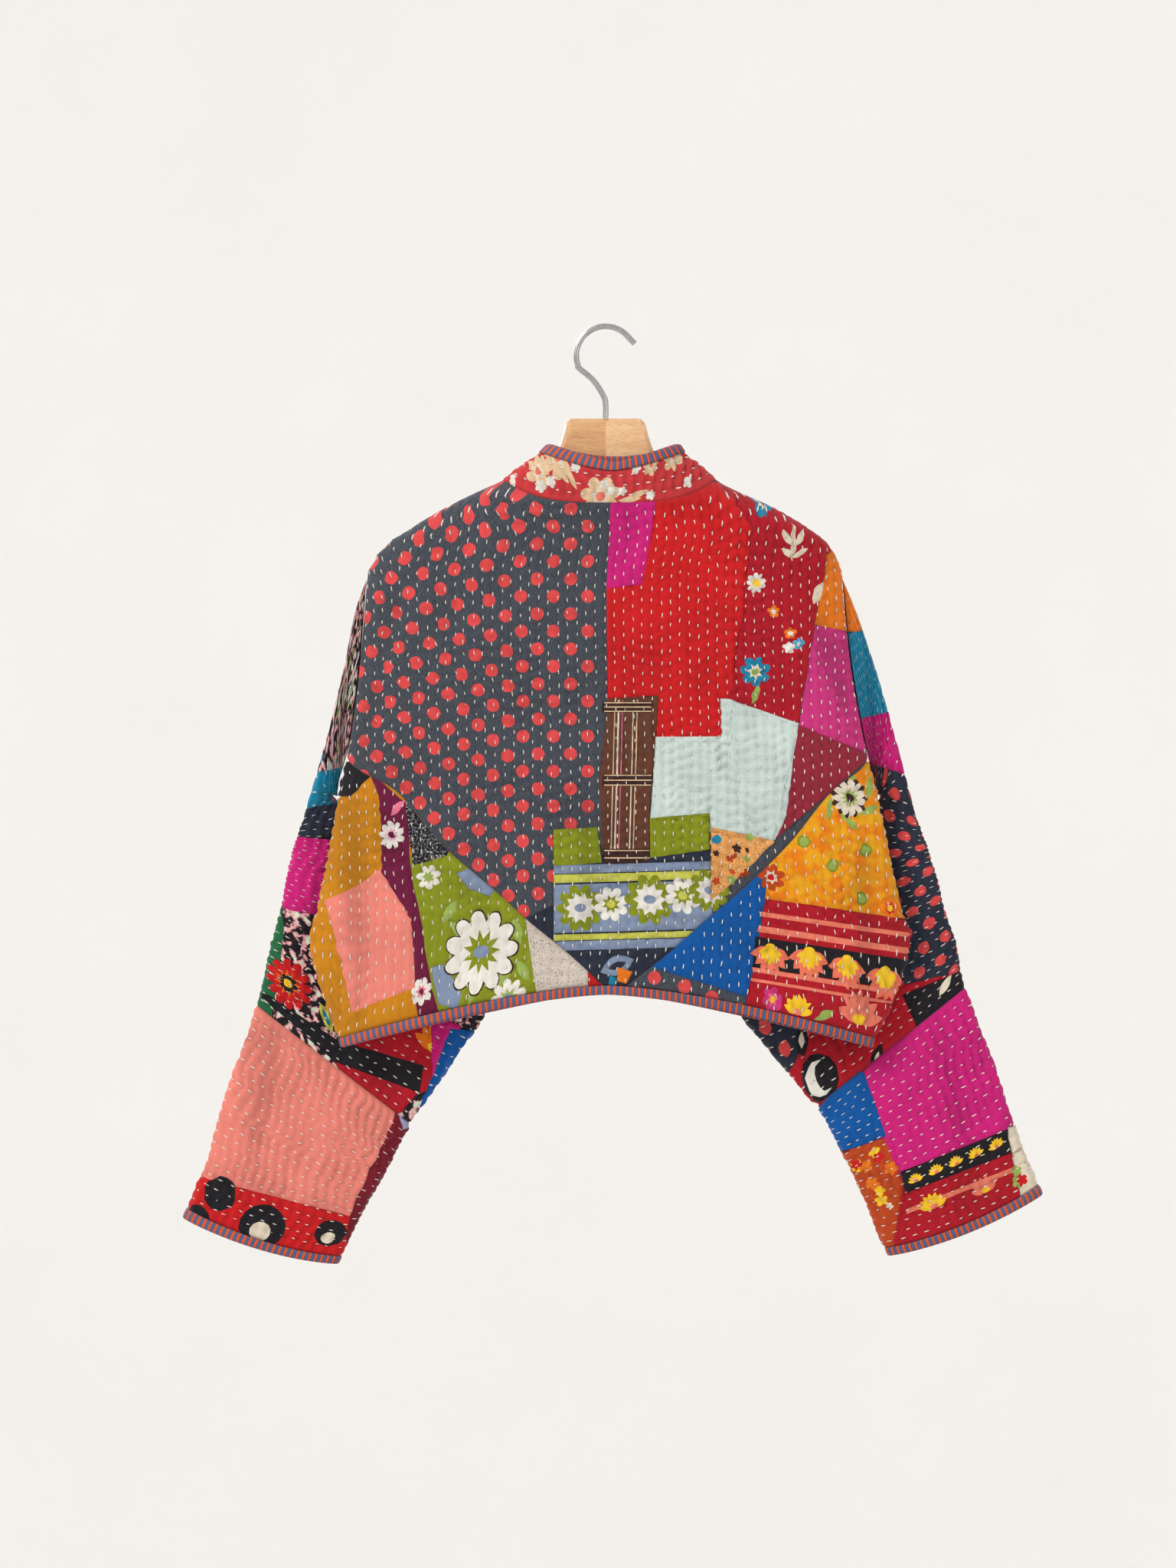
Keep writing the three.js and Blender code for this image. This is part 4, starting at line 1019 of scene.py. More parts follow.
def patch_steps(vert_count, tris, tops, layers):
    """Each vertex's step for the sewn patches: down along their edges, up on them."""
    sewn = np.array([0] + [k + 1 if layer[3] else 0 for k, layer in enumerate(layers)])
    patch_of = np.maximum.accumulate(sewn)[tops]
    low, high = np.full(vert_count, len(layers) + 1), np.full(vert_count, -1)
    for corner in np.array(tris).T:
        np.minimum.at(low, corner, patch_of)
        np.maximum.at(high, corner, patch_of)
    return np.where(low != high, -PATCH_DIP, np.where(high > 0, PATCH_RISE, 0))


def held_shallow(lift):
    """Keeps the face clear of the inner wall."""
    room = DEEPEST - SHALLOW
    return np.where(lift < SHALLOW, SHALLOW + room * np.tanh((lift - SHALLOW) / room), lift)


def added(name, data):
    obj = bpy.data.objects.new(name, data)
    bpy.context.scene.collection.objects.link(obj)
    return obj


def smooth_mesh(name, verts, faces):
    mesh = bpy.data.meshes.new(name)
    mesh.from_pydata(verts, [], faces)
    mesh.polygons.foreach_set("use_smooth", np.ones(len(faces), bool))
    return mesh


def shaded(name, verts, faces, tints, slots, flat_places, materials):
    """A smooth mesh with a tint on each face and the cloth's own coordinates as its UVs."""
    mesh = smooth_mesh(name, (np.asarray(verts) * METRE).tolist(), faces)
    for material in materials:
        mesh.materials.append(material)
    counts = np.array([len(face) for face in faces])
    mesh.polygons.foreach_set("material_index", np.asarray(slots, np.int32))
    tint = mesh.color_attributes.new("tint", "FLOAT_COLOR", "CORNER")
    values = np.concatenate([tints, np.ones((len(tints), 1))], axis=1)
    tint.data.foreach_set("color", np.repeat(values, counts, axis=0).ravel())
    layer = mesh.uv_layers.new(name="cloth")
    corners = np.concatenate([np.asarray(face) for face in faces])
    layer.data.foreach_set("uv", (np.asarray(flat_places)[corners] * 0.01).ravel())
    mesh.update()
    return added(name, mesh)


def socket(node, name, value):
    node.inputs[name].default_value = value


class Shader:
    """A short way to build a material's nodes."""

    def __init__(self, name, roughness):
        self.material = bpy.data.materials.new(name)
        self.material.use_nodes = True
        self.nodes, self.links = self.material.node_tree.nodes, self.material.node_tree.links
        self.surface = self.nodes["Principled BSDF"]
        socket(self.surface, "Roughness", roughness)

    def node(self, kind, **values):
        made = self.nodes.new(kind)
        for key, value in values.items():
            if key in made.inputs:
                made.inputs[key].default_value = value
            else:
                setattr(made, key, value)
        return made

    def link(self, a, output, b, name):
        self.links.new(a.outputs[output], b.inputs[name])

    def noise(self, scales, scale=1.0, detail=3.0, source="UV"):
        coordinates = self.node("ShaderNodeTexCoord")
        mapping = self.node("ShaderNodeMapping", Scale=scales)
        made = self.node("ShaderNodeTexNoise", Scale=scale, Detail=detail)
        self.link(coordinates, source, mapping, "Vector")
        self.link(mapping, "Vector", made, "Vector")
        return made

    def ramp(self, source, output, stops):
        made = self.node("ShaderNodeValToRGB")
        elements = made.color_ramp.elements
        elements[0].position, elements[0].color = stops[0][0], (*stops[0][1], 1)
        elements[1].position, elements[1].color = stops[-1][0], (*stops[-1][1], 1)
        for position, colour in stops[1:-1]:
            elements.new(position).color = (*colour, 1)
        self.link(source, output, made, "Fac")
        return made

    def mix(self, mode, factor, a, b):
        """Each of a and b is a colour, or a node and the name of its output."""
        made = self.node("ShaderNodeMix", data_type="RGBA", blend_type=mode)
        made.inputs[0].default_value = factor
        for place, value in ((6, a), (7, b)):
            if isinstance(value[0], float):
                made.inputs[place].default_value = (*value, 1)
            else:
                self.links.new(value[0].outputs[value[1]], made.inputs[place])
        return made, 2

    def bump(self, source, output, strength, distance):
        made = self.node("ShaderNodeBump", Strength=strength, Distance=distance)
        self.link(source, output, made, "Height")
        self.link(made, "Normal", self.surface, "Normal")

    def finish(self, **values):
        """Sets the surface's own values, named as its sockets are with _ for a space."""
        for name, value in values.items():
            socket(self.surface, name.replace("_", " "), value)
        return self.material


def grey(value):
    return (value, value, value)


THREADS = ((1500, 170, 1), (170, 1500, 1))
WHITE = grey(1.0)
BLACK = grey(0.0)
# A kind's print: the scales of its noise, the noise's detail, its ramp, and how it is mixed in.
PRINTS = {
    "heather": ([(60, 420, 1)], 3.0, [(0.42, BLACK), (0.72, grey(0.4))], "SCREEN", 0.28),
    "mottled": ([(9, 9, 1)], 6.0, [(0.42, WHITE), (0.6, (1.0, 0.52, 0.3))], "MULTIPLY", 0.9),
    "speckle": ([(70, 70, 1)], 2.0, [(0.6, WHITE), (0.64, (0.35, 0.2, 0.16))], "MULTIPLY", 1.0),
    "scribble": ([(30, 30, 1)], 2.0, [(0.485, BLACK), (0.5, grey(0.75)), (0.515, BLACK)], "SCREEN", 1.0),
    "chintz": (
        [(13, 13, 1)], 2.0, [
            (0.5, BLACK), (0.56, (0.75, 0.3, 0.33)), (0.66, (0.5, 0.72, 0.55))
        ], "SCREEN", 1.0
    ),
    "check": ([(340, 2, 1), (2, 340, 1)], 0.0, [(0.35, (0.72, 0.8, 0.8)), (0.5, WHITE)], "MULTIPLY", 0.45),
}
KINDS = ("cotton", *PRINTS)


def cotton(name, kind="cotton"):
    """Worn cotton: the face's tint, uneven threads both ways, soft fading, and the kind's own print."""
    shader = Shader(name, 0.86)
    tint = shader.node("ShaderNodeVertexColor", layer_name="tint")
    colour = (tint, "Color")
    faded = shader.ramp(shader.noise((3.0, 3.0, 1), detail=5.0), "Fac", [(0.3, grey(0.84)), (0.7, WHITE)])
    colour = shader.mix("MULTIPLY", 1.0, colour, (faded, "Color"))
    warp, weft = [shader.noise(scales, detail=1.0) for scales in THREADS]
    for thread in (warp, weft):
        tone = shader.ramp(thread, "Fac", [(0.25, grey(0.86)), (0.75, WHITE)])
        colour = shader.mix("MULTIPLY", 0.8, colour, (tone, "Color"))
    colour = printed(shader, kind, colour)
    shader.link(*colour, shader.surface, "Base Color")
    threads = shader.node("ShaderNodeMath", operation="ADD")
    for place, thread in enumerate((warp, weft)):
        shader.links.new(thread.outputs["Fac"], threads.inputs[place])
    shader.bump(threads, "Value", 0.45, 0.00035)
    rough = shader.node("ShaderNodeMapRange")
    socket(rough, "To Min", 0.78)
    socket(rough, "To Max", 0.95)
    shader.link(warp, "Fac", rough, "Value")
    shader.link(rough, "Result", shader.surface, "Roughness")
    return shader.finish(Sheen_Weight=0.12, Sheen_Roughness=0.5, Specular_IOR_Level=0.18)


def printed(shader, kind, colour):
    """The kind's own woven or printed variation, over the colour so far."""
    if kind == "cotton":
        return colour
    layers, detail, stops, mode, factor = PRINTS[kind]
    for scales in layers:
        tone = shader.ramp(shader.noise(scales, detail=detail), "Fac", stops)
        colour = shader.mix(mode, factor, colour, (tone, "Color"))
    return colour


CLOTHS = [cotton(f"cloth_{kind}", kind) for kind in KINDS]


def thread_material():
    shader = Shader("stitch_thread", 0.7)
    tone = shader.ramp(
        shader.noise((2500, 2500, 2500), detail=2.0, source="Object"), "Fac",
        [(0.3, linear("beige")), (0.7, linear("white"))]
    )
    shader.link(tone, "Color", shader.surface, "Base Color")
    shader.bump(tone, "Color", 0.4, 0.0002)
    return shader.finish(Sheen_Weight=0.2, Specular_IOR_Level=0.3)


THREAD = thread_material()


def stitch_places(outline, stitched, seed):
    """Centres and directions of the running stitches: broken rows, a little uneven."""
    rng = np.random.default_rng(seed)
    low, high = outline.min(0), outline.max(0)
    row_axis = 0 if stitched == "down" else 1
    rows = np.arange(
        math.floor(low[row_axis] / STITCH_ROW), math.ceil(high[row_axis] / STITCH_ROW) + 1
    ) * STITCH_ROW
    places = []
    for row in rows:
        run = np.arange(low[1 - row_axis] + rng.uniform(0, STITCH_PITCH), high[1 - row_axis], STITCH_PITCH)
        run = run + rng.normal(0, 0.8, len(run))
        wander = row + 0.7 * noise(run, np.full(len(run), row), 70, 3, seed) + rng.normal(0, 0.18, len(run))
        places.append(np.stack([wander, run] if row_axis == 0 else [run, wander], -1))
    places = np.concatenate(places)
    places = places[inside(places, outline)]
    return places[edge_distance(places, outline) > 2.4]


def stitches(name, domain, places, lift_at, stitched, seed):
    """All the running stitches of a panel as one piece: each a small closed boat of thread."""
    rng = np.random.default_rng(seed)
    long, wide, tall = STITCH["long"] / 2, STITCH["wide"] / 2, STITCH["tall"]
    angle = rng.normal(0, 0.1, len(places)) + (math.pi / 2 if stitched == "down" else 0)
    size = rng.uniform(0.8, 1.2, len(places))
    run = (size * long)[:, None] * np.stack([np.cos(angle), np.sin(angle)], -1)
    lifts = [lift_at(places + share * run) for share in (-1, 0, 1)]
    hull = [
        (-1, 0, -0.35), (-0.45, -1, 0.1), (-0.45, 0, 1), (-0.45, 1, 0.1), (0.45, -1, 0.1), (0.45, 0, 1),
        (0.45, 1, 0.1), (1, 0, -0.35)
    ]
    corners = []
    for along, side, rise in hull:
        u = places[:, 0] + size * long * along * np.cos(angle) - wide * side * np.sin(angle)
        v = places[:, 1] + size * long * along * np.sin(angle) + wide * side * np.cos(angle)
        base = lerp(lifts[1], lifts[0] if along < 0 else lifts[2], abs(along))
        corners.append(domain.place(u, v, base + tall * rise))
    verts = np.stack(corners, 1).reshape(-1, 3)
    shape = [(0, 2, 1), (0, 3, 2), (7, 4, 5), (7, 5, 6), (1, 2, 5, 4), (2, 3, 6, 5), (0, 1, 4, 7, 6, 3)]
    faces = [[8 * k + i for i in face] for k in range(len(places)) for face in shape]
    mesh = smooth_mesh(name, (verts * METRE).tolist(), faces)
    mesh.materials.append(THREAD)
    return added(name, mesh)


def face_outward(obj):
    """Turns a closed mesh's faces outward."""
    made = bmesh.new()
    made.from_mesh(obj.data)
    bmesh.ops.recalc_face_normals(made, faces=made.faces)
    made.to_mesh(obj.data)
    made.free()


def backing(domain, outline, verts, tris):
    """The plain inner wall of a panel, flat and in place, and the faces of the wall and its rim."""
    loop = boundary_loop(tris)
    flat, inner_tris, _, origins = cut(verts[loop], grid_spots(outline, BACKING_STEP, BACKING_STEP, 3), [])
    place_of = {source: k for k, sources in enumerate(origins) for source in sources}
    start = len(verts)
    faces = [[start + c, start + b, start + a] for a, b, c in inner_tris]
    for k in range(len(loop)):
        m = (k + 1) % len(loop)
        a, b = loop[k], loop[m]
        c, d = start + place_of[k], start + place_of[m]
        faces += [[b, a, c], [b, c, d]]
    placed = domain.place(flat[:, 0], flat[:, 1], np.full(len(flat), -CLOTH))
    return flat, placed, inner_tris, faces


def panel(name, domain, outline, design, ground, stitched, creases, grid, seed):
    """A quilted panel as a closed wall, with its stitches, in place of the CAD node of the same name.
    The ground is its lowest cloth's colour and kind."""
    outline = counter_clockwise(densified(outline, OUTLINE_STEP))
    layers = design.layers
    verts, tris, tops, _ = cut(outline, grid_spots(outline, *grid, 0.9), layers)
    edge = edge_distance(verts, outline)
    lift = relief(verts, edge, stitched, creases, seed)
    lift += patch_steps(len(verts), tris, tops, layers) * np.clip(edge / 3, 0, 1)
    lift = held_shallow(lift)
    face = domain.place(verts[:, 0], verts[:, 1], lift)
    flat, inner, inner_tris, wall = backing(domain, outline, verts, tris)

    cloths = [ground, *[(colour, kind) for colour, _, kind, _ in layers]]
    # Painted shade: faces whose mean lift is below half a millimetre get a darker tint, up to 30 percent
    # darker where they lie deepest.
    painted_shade_share = np.clip((0.5 - lift[np.array(tris)].mean(1)) / 2.2, 0, 1)
    tints = np.array([linear(colour) for colour, _ in cloths])[tops] * (1 - PAINTED_HOLLOW_SHADE * painted_shade_share)[:, None]
    tints = np.concatenate([tints, np.tile(linear("lining"), (len(wall), 1))])
    kinds = np.array([KINDS.index(kind) for _, kind in cloths])[tops]
    kinds = np.concatenate([kinds, np.zeros(len(wall), int)])
    points, places = np.concatenate([face, inner]), np.concatenate([verts, flat])
    obj = shaded(f"{name}_cloth", points, tris + wall, tints, kinds, places, CLOTHS)
    face_outward(obj)
    tree = flat_tree(verts)
    lift_at = lambda spots: np.array([lift[tree.find((x, y, 0))[1]] for x, y in spots]) + STITCH["clear"]
    sewn = stitches(
        f"{name}_stitches", domain, stitch_places(outline, stitched, seed), lift_at, stitched, seed + 50
    )
    settle(obj, sewn, name, inner, inner_tris)


def settle(obj, sewn, node, smooth, smooth_tris):
    """Ties a panel and its stitches to the frame. The area of the cloth that was cut for it is worked out
    and not used.
    """
    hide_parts(node)
    for piece in (obj, sewn):
        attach(piece, "root")
    corners = smooth[np.array(smooth_tris)]
    sides = corners[:, 1:] - corners[:, :1]
    cloth = float(np.linalg.norm(np.cross(sides[:, 0], sides[:, 1]), axis=1).sum() / 2)


# Bindings: bias strips folded over an edge, with cross stripes and a rib to each stripe.
STRIPES = ((0.0, "stripe_line", -0.15), (0.3, "stripe_orange", 0.05), (1.45, "stripe_orange", 0.28),
           (2.6, "stripe_line", -0.15), (2.9, "stripe_blue", 0.05), (4.05, "stripe_blue", 0.28))
STRIPE_PAIR = 5.2
BINDING_SECTION = ((1, -0.12), (0.8, -0.34), (0.45, -0.42), (0.15, -0.36), (0.02, -0.1), (0, 0.5),
                   (0.02, 1.1), (0.15, 1.36), (0.45, 1.42), (0.8, 1.34), (1, 1.12))


def stripe_stations(length, closed):
    """Where the stripes change along a binding, with the colour and the crest from there on."""
    pairs = max(2, round(length / STRIPE_PAIR))
    scale = length / (pairs * STRIPE_PAIR)
    stations = [
        ((k * STRIPE_PAIR + at) * scale, colour, crest)
        for k in range(pairs)
        for at, colour, crest in STRIPES
    ]
    return stations if closed else [*stations, (length, "stripe_line", 0.0)]


def ribbon(name, node, place, length, closed=False):
    """A striped binding along a path: place(along, share, lift) gives its points."""
    stations = stripe_stations(length, closed)
    along = np.array([station[0] for station in stations])
    crest = np.array([station[2] for station in stations])
    wobble = 0.35 * noise(along, 0 * along, 23, 9, len(name))
    rows = []
    for share, deep in BINDING_SECTION:
        outward = 1 if deep < 0.5 else -1
        lift = -deep * CLOTH + outward * (crest + wobble * (1 if 0 < share < 1 else 0))
        rows.append(place(along, np.full(len(along), float(share)), lift))
    verts = np.stack(rows, 1)
    count = len(BINDING_SECTION)
    faces, tints = [], []
    for k in range(len(stations) - (0 if closed else 1)):
        m = (k + 1) % len(stations)
        for i in range(count):
            j = (i + 1) % count
            faces.append([k * count + i, m * count + i, m * count + j, k * count + j])
            tints.append(linear(stations[k][1]))
    if not closed:
        faces += [list(range(count)), [(len(stations) - 1) * count + i for i in range(count)]]
        tints += [linear("stripe_line")] * 2
    spread = np.stack([np.repeat(along, count), np.tile(np.arange(count) * 2.2, len(stations))], -1)
    obj = shaded(
        name, verts.reshape(-1, 3), faces, np.array(tints), np.zeros(len(faces)), spread, CLOTHS[:1]
    )
    face_outward(obj)
    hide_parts(node)
    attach(obj, "root")


# Each binding's path, and its length.
def ring_path(edge, inward, seam_ring):
    """Round the hem or the collar's top."""
    length = 2 * float(BODY.front_seam(edge + inward / 2))

    def place(along, share, lift):
        level = edge + inward * share * (1 - BODY.ring_gap(seam_ring))
        u = (along / length * 2 - 1) * BODY.front_seam(level)
        return BODY.place(u, BODY.at("centre_back", level), lift)
    return place, length


def front_edge_path(side):
    bottom, top = BODY.at("centre_back", 0), BODY.at("centre_back", COLLAR_BOUND)

    def place(along, share, lift):
        v = lerp(bottom, top, along / (top - bottom))
        level = BODY.level(v)
        u = SIGN[side] * (BODY.at("whole", level) - FRONT_EDGE - share * BINDING)
        return BODY.place(u, v, lift)
    return place, float(top - bottom)


def cuff_path(side):
    sleeve = SLEEVE[side]
    length = float(sleeve.girths[-1])

    def place(along, share, lift):
        v = -(sleeve.end - share * BINDING)
        u = sleeve.sign * along / length * sleeve.girth(v)
        return sleeve.place(u, v, lift)
    return place, length


NECK_LOOP = {"left": -27, "right": 44, "top": -106, "sag": 4.5, "clear": -0.7, "thick": 1.4}


def neck_loop_path():
    """The hanging loop is a flat strip, so of the lift only the part near its two faces is kept."""
    left, right = NECK_LOOP["left"], NECK_LOOP["right"]
    half = BODY.at("half_width", COLLAR_BOUND) - CLOTH
    deepest = BODY.at("back", COLLAR_BOUND) - CLOTH

    def place(along, share, lift):
        x = lerp(left, right, along / (right - left))
        middle = (x - (left + right) / 2) / ((right - left) / 2)
        across = np.abs(x - BODY.at("centre", COLLAR_BOUND)) / half
        depth = deepest * np.sqrt(1 - across ** BODY.at("square", COLLAR_BOUND))
        face = np.clip(lift + CLOTH / 2, -0.9, 0.9)
        y = -depth + 0.36 * CLOTH + NECK_LOOP["clear"] + NECK_LOOP["thick"] / 2 - face
        z = NECK_LOOP["top"] - NECK_LOOP["sag"] * (1 - middle**2) - share * BINDING
        return np.stack([x, y, z], -1)
    return place, float(right - left)


HOOK_RADIUS = 25.3
WIRE = 5


def hook_wire():
    """The steel hook as a round wire through the CAD hook's own centre line."""
    turn = np.radians(np.linspace(205, 42, 26))
    crown = 2.5 - HOOK_RADIUS
    arc = [(HOOK_RADIUS * math.cos(a), 0, crown + HOOK_RADIUS * math.sin(a)) for a in turn]
    end = (arc[-1][0] + 6.3, 0, arc[-1][2] - 6.75)
    rows = np.array([(0, 0, -76.6), (0, 0, -65.3), (-1.5, 0, -58.2), (-10.5, 0, -44.2), *arc, end], float)
    points = smooth_rows(rows, np.linspace(0, len(rows) - 1, 6 * len(rows)))
    curve = bpy.data.curves.new("hook_wire", "CURVE")
    curve.dimensions = "3D"
    curve.bevel_depth = WIRE / 2 * METRE
    curve.bevel_resolution = 6
    curve.use_fill_caps = True
    spline = curve.splines.new("POLY")
    spline.points.add(len(points) - 1)
    for target, point in zip(spline.points, points):
        target.co = (*(point * METRE), 1)
    obj = added("hook_wire", curve)
    shader = Shader("brushed_steel", 0.3)
    brushed = shader.noise((900, 900, 60), detail=2.0, source="Object")
    tone = shader.ramp(brushed, "Fac", [(0.3, grey(0.3)), (0.7, grey(0.46))])
    shader.link(tone, "Color", shader.surface, "Base Color")
    shader.bump(brushed, "Fac", 0.15, 0.0002)
    curve.materials.append(shader.finish(Metallic=1.0))
    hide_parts("hanger_hook")
    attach(obj, "root")


def wood(name, lean, pale, dark):
    """Varnished beech: long soft grain with short dark flecks."""
    shader = Shader(name, 0.38)
    coordinates = shader.node("ShaderNodeTexCoord")
    mapping = shader.node("ShaderNodeMapping", Scale=(12, 60, 90), Rotation=(0, lean, 0))
    shader.link(coordinates, "Object", mapping, "Vector")
    grain = shader.node("ShaderNodeTexNoise", Scale=1.6, Detail=6.0, Distortion=0.6)
    shader.link(mapping, "Vector", grain, "Vector")
    fine = shader.node("ShaderNodeMapping", Scale=(160, 900, 1400), Rotation=(0, lean, 0))
    shader.link(coordinates, "Object", fine, "Vector")
    flecks = shader.node("ShaderNodeTexNoise", Scale=1.0, Detail=2.0)
    shader.link(fine, "Vector", flecks, "Vector")
    base = shader.ramp(grain, "Fac", [(0.3, dark), (0.7, pale)])
    fleck = shader.ramp(flecks, "Fac", [(0.34, (0.62, 0.5, 0.4)), (0.42, WHITE)])
    colour = shader.mix("MULTIPLY", 0.7, (base, "Color"), (fleck, "Color"))
    shader.link(*colour, shader.surface, "Base Color")
    shader.bump(flecks, "Fac", 0.12, 0.0002)
    return shader.finish(Coat_Weight=0.35, Coat_Roughness=0.22)


def dress_hanger():
    """The CAD hanger shows as it is, with rounded edges and each half in its own grain."""
    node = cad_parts["hanger_wood"]
    node.data.materials.clear()
    node.data.materials.append(wood("beech_left", 0.35, (0.62, 0.36, 0.17), (0.5, 0.25, 0.1)))
    node.data.materials.append(wood("beech_right", -0.9, (0.7, 0.45, 0.25), (0.6, 0.34, 0.16)))
    for polygon in node.data.polygons:
        polygon.material_index = 0 if polygon.center.x < 0 else 1
    bevel = node.modifiers.new("rounded", "BEVEL")
    bevel.width = 1.1 * METRE
    bevel.segments = 3
    bevel.limit_method = "ANGLE"
    bevel.angle_limit = math.radians(35)


# Creases: the two ends, how wide and how high. Those seen in the photograph are in its pixels.
def creased(domain, *creases):
    return [(*domain.invert(*from_pixels(ends)), width, height) for *ends, width, height in creases]


def hidden_creases(sign, *creases):
    return [(np.array(a) * (sign, 1.0), np.array(b) * (sign, 1.0), *size) for a, b, *size in creases]


BACK_CREASES = creased(
    BODY,
    ((520, 800), (470, 985), 9, -2.6),
    ((560, 760), (500, 900), 11, 2.0),
    ((1060, 770), (1115, 960), 9, -2.4),
    ((640, 690), (600, 900), 13, 1.6),
    ((960, 930), (1020, 1060), 8, 1.8),
    ((930, 960), (985, 1085), 7, -1.6),
    ((700, 980), (690, 1180), 12, 1.6),
    ((870, 700), (880, 880), 14, 1.3),
    ((760, 1000), (775, 1240), 10, -1.5),
)
GUSSET_CREASES = {
    "left": creased(
        BODY,
        ((455, 1040), (470, 1330), 10, -2.2),
        ((500, 1120), (620, 1200), 9, 1.6),
        ((560, 1200), (570, 1320), 9, 1.4),
    ),
    "right": creased(
        BODY,
        ((1120, 1030), (1130, 1340), 10, -2.2),
        ((1050, 1090), (1060, 1300), 10, 1.8),
        ((900, 1240), (905, 1310), 9, 1.2),
    ),
}
SLEEVE_CREASES = {
    "left": creased(
        SLEEVE["left"],
        ((440, 1000), (395, 1230), 9, -2.4),
        ((420, 1180), (470, 1420), 12, 2.0),
        ((360, 1330), (330, 1540), 10, -1.8),
        ((450, 1440), (380, 1590), 11, 2.2),
        ((300, 1360), (290, 1520), 9, 1.6),
    ),
    "right": creased(
        SLEEVE["right"],
        ((1150, 960), (1190, 1220), 9, -2.2),
        ((1190, 1200), (1130, 1400), 12, 2.0),
        ((1220, 1330), (1270, 1520), 10, -1.8),
        ((1160, 1420), (1230, 1590), 11, 2.2),
        ((1290, 1340), (1310, 1500), 9, 1.6),
    ),
}
FRONT_CREASES = {}
for side in SIGN:
    SLEEVE_CREASES[side] += hidden_creases(
        -SIGN[side],
        ((150, -90), (180, -330), 12, -2.2),
        ((190, -150), (160, -480), 11, 2.0),
    )
    FRONT_CREASES[side] = hidden_creases(
        SIGN[side],
        ((300, -160), (320, -420), 12, -2.2),
        ((370, -240), (360, -500), 13, 2.0),
        ((420, -300), (415, -520), 10, -1.5),
    )


GROUNDS = {
    "gusset_left": ("mustard", "cotton"), "gusset_right": ("dark_red", "cotton"),
    "front_left": ("coral", "cotton"), "front_right": ("yellow", "mottled"),
    "sleeve_left": ("black", "chintz"), "sleeve_right": ("navy", "cotton"),
    "forearm_left": ("coral", "cotton"), "forearm_right": ("dark_red", "cotton"),
}


def dress_side(side):
    gusset, front, sleeve, forearm = [f"{part}_{side}" for part in ("gusset", "front", "sleeve", "forearm")]
    left = side == "left"
    panel(
        gusset, BODY, gusset_outline(side), gusset_left_design() if left else gusset_right_design(),
        GROUNDS[gusset], "down", GUSSET_CREASES[side], grid=(2.3, 2.8), seed=11
    )
    panel(
        front, BODY, front_outline(side), front_design(side),
        GROUNDS[front], "down", FRONT_CREASES[side], grid=(3.2, 3.2), seed=17
    )
    panel(
        sleeve, SLEEVE[side], sleeve_outline(side, "upper"),
        sleeve_left_design() if left else sleeve_right_design(),
        GROUNDS[sleeve], "round", SLEEVE_CREASES[side], grid=(2.6, 2.4), seed=23
    )
    panel(
        forearm, SLEEVE[side], sleeve_outline(side, "lower"),
        forearm_left_design() if left else forearm_right_design(),
        GROUNDS[forearm], "round", SLEEVE_CREASES[side], grid=(2.6, 2.4), seed=29
    )
    ribbon(f"front_edge_{side}", f"front_binding_{side}", *front_edge_path(side))
    ribbon(f"cuff_edge_{side}", f"cuff_binding_{side}", *cuff_path(side), closed=True)


def dress_jacket():
    panel(
        "back_panel", BODY, back_outline(), back_design(),
        ("slate", "heather"), "down", BACK_CREASES, grid=(2.2, 2.7), seed=3
    )
    for side in SIGN:
        dress_side(side)
    panel(
        "collar", BODY, collar_outline(), collar_design(),
        ("collar", "cotton"), "round", (), grid=(2.0, 1.6), seed=31
    )
    ribbon("hem_edge", "hem_binding", *ring_path(0, 1, HEM))
    ribbon("collar_edge", "collar_binding", *ring_path(COLLAR_BOUND, -1, COLLAR_TOP))
    ribbon("hanging_loop", "neck_loop", *neck_loop_path())


def light(name, place, size, power, colour=(1, 1, 1)):
    data = bpy.data.lights.new(name, "AREA")
    data.shape = "DISK"
    data.size = size
    data.energy = power
    data.color = colour
    obj = added(name, data)
    obj.location = place
    obj.rotation_euler = (Vector(LIT) - Vector(place)).to_track_quat("-Z", "Y").to_euler()
    return obj


# The studio's sizes are in metres.
FLOOR_Z = -3.0
FLOOR_FLAT = 5.0
BEND = 2.0
LIT = (0, 0, -0.4)  # where the lights point


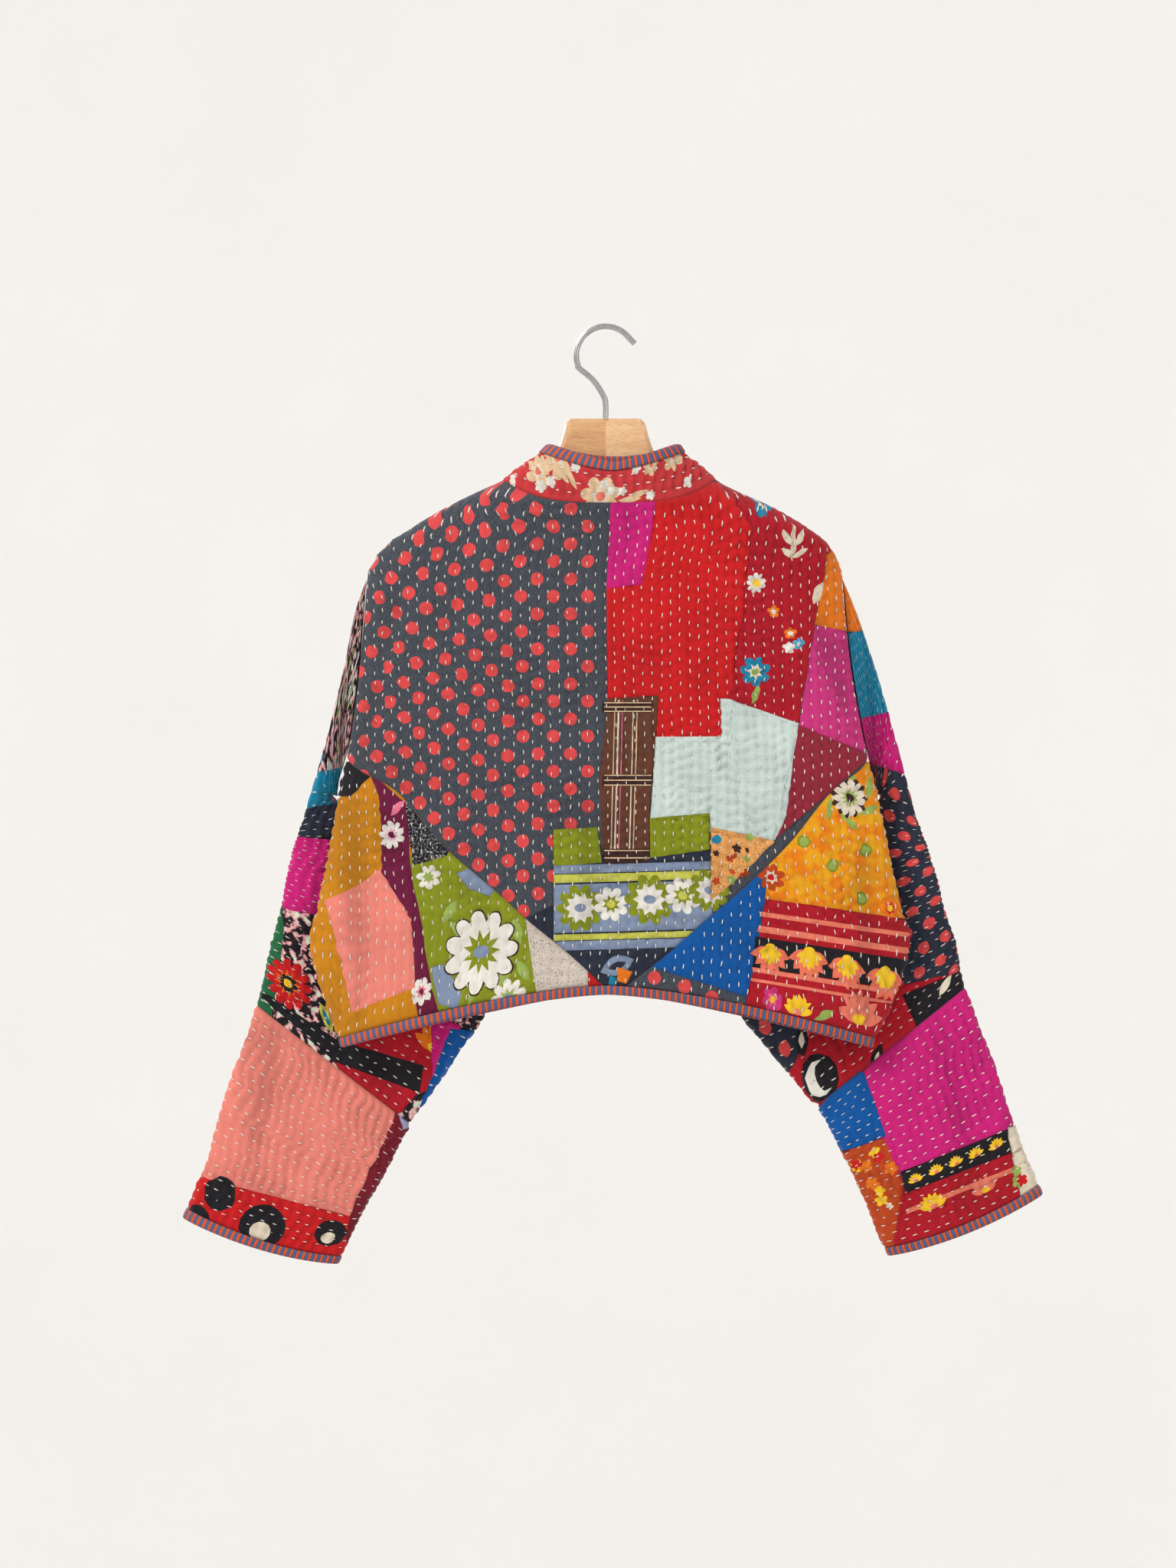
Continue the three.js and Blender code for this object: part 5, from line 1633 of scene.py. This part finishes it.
def studio():
    """A pale bowl all round, so every side can be looked at, and soft lights."""
    bends = np.linspace(0.2, math.pi / 2, 9)
    profile = [(0, FLOOR_Z), (FLOOR_FLAT / 2, FLOOR_Z), (FLOOR_FLAT, FLOOR_Z)]
    profile += [(FLOOR_FLAT + BEND * math.sin(a), FLOOR_Z + BEND * (1 - math.cos(a))) for a in bends]
    profile += [(FLOOR_FLAT + BEND, 3.0), (FLOOR_FLAT + BEND, 6.5)]
    count = 96
    turns = [2 * math.pi * k / count for k in range(count)]
    verts, faces = [(0, 0, profile[0][1])], []
    for radius, z in profile[1:]:
        verts += [(radius * math.cos(turn), radius * math.sin(turn), z) for turn in turns]
    faces += [(0, 1 + k, 1 + (k + 1) % count) for k in range(count)]
    for row in range(len(profile) - 2):
        for k in range(count):
            a, b = 1 + row * count + k, 1 + row * count + (k + 1) % count
            faces.append((a, a + count, b + count, b))
    mesh = smooth_mesh("studio_floor", verts, faces)
    floor = added("studio_floor", mesh)
    shader = Shader("studio_paint", 0.9)
    clouds = shader.noise((2, 2, 2), detail=3.0, source="Object")
    tone = shader.ramp(clouds, "Fac", [(0.3, (0.93, 0.915, 0.89)), (0.7, (0.95, 0.935, 0.915))])
    shader.link(tone, "Color", shader.surface, "Base Color")
    mesh.materials.append(shader.material)
    lights = [
        light("key", (-2.9, -2.3, 2.3), 1.1, 138, (1.0, 0.98, 0.95)),
        light("fill", (2.8, -3.2, 0.2), 2.4, 22, (0.97, 0.98, 1.0)),
        light("far_side", (-1.5, 3.6, 1.4), 2.4, 90),
    ]
    world = bpy.data.worlds.new("studio_world")
    world.use_nodes = True
    background = world.node_tree.nodes["Background"]
    socket(background, "Color", (0.95, 0.97, 1.0, 1))
    socket(background, "Strength", 0.85)
    bpy.context.scene.world = world


def photo_camera():
    data = bpy.data.cameras.new("photo_camera")
    data.lens, data.sensor_width = 110, 36
    camera = added("photo_camera", data)
    camera.location = (-0.0152, -4.13, -0.392)
    camera.rotation_euler = (math.radians(90), 0, 0)
    bpy.context.scene.camera = camera
    bpy.context.scene.view_settings.view_transform = "Standard"


dress_jacket()
hook_wire()
dress_hanger()
studio()
photo_camera()
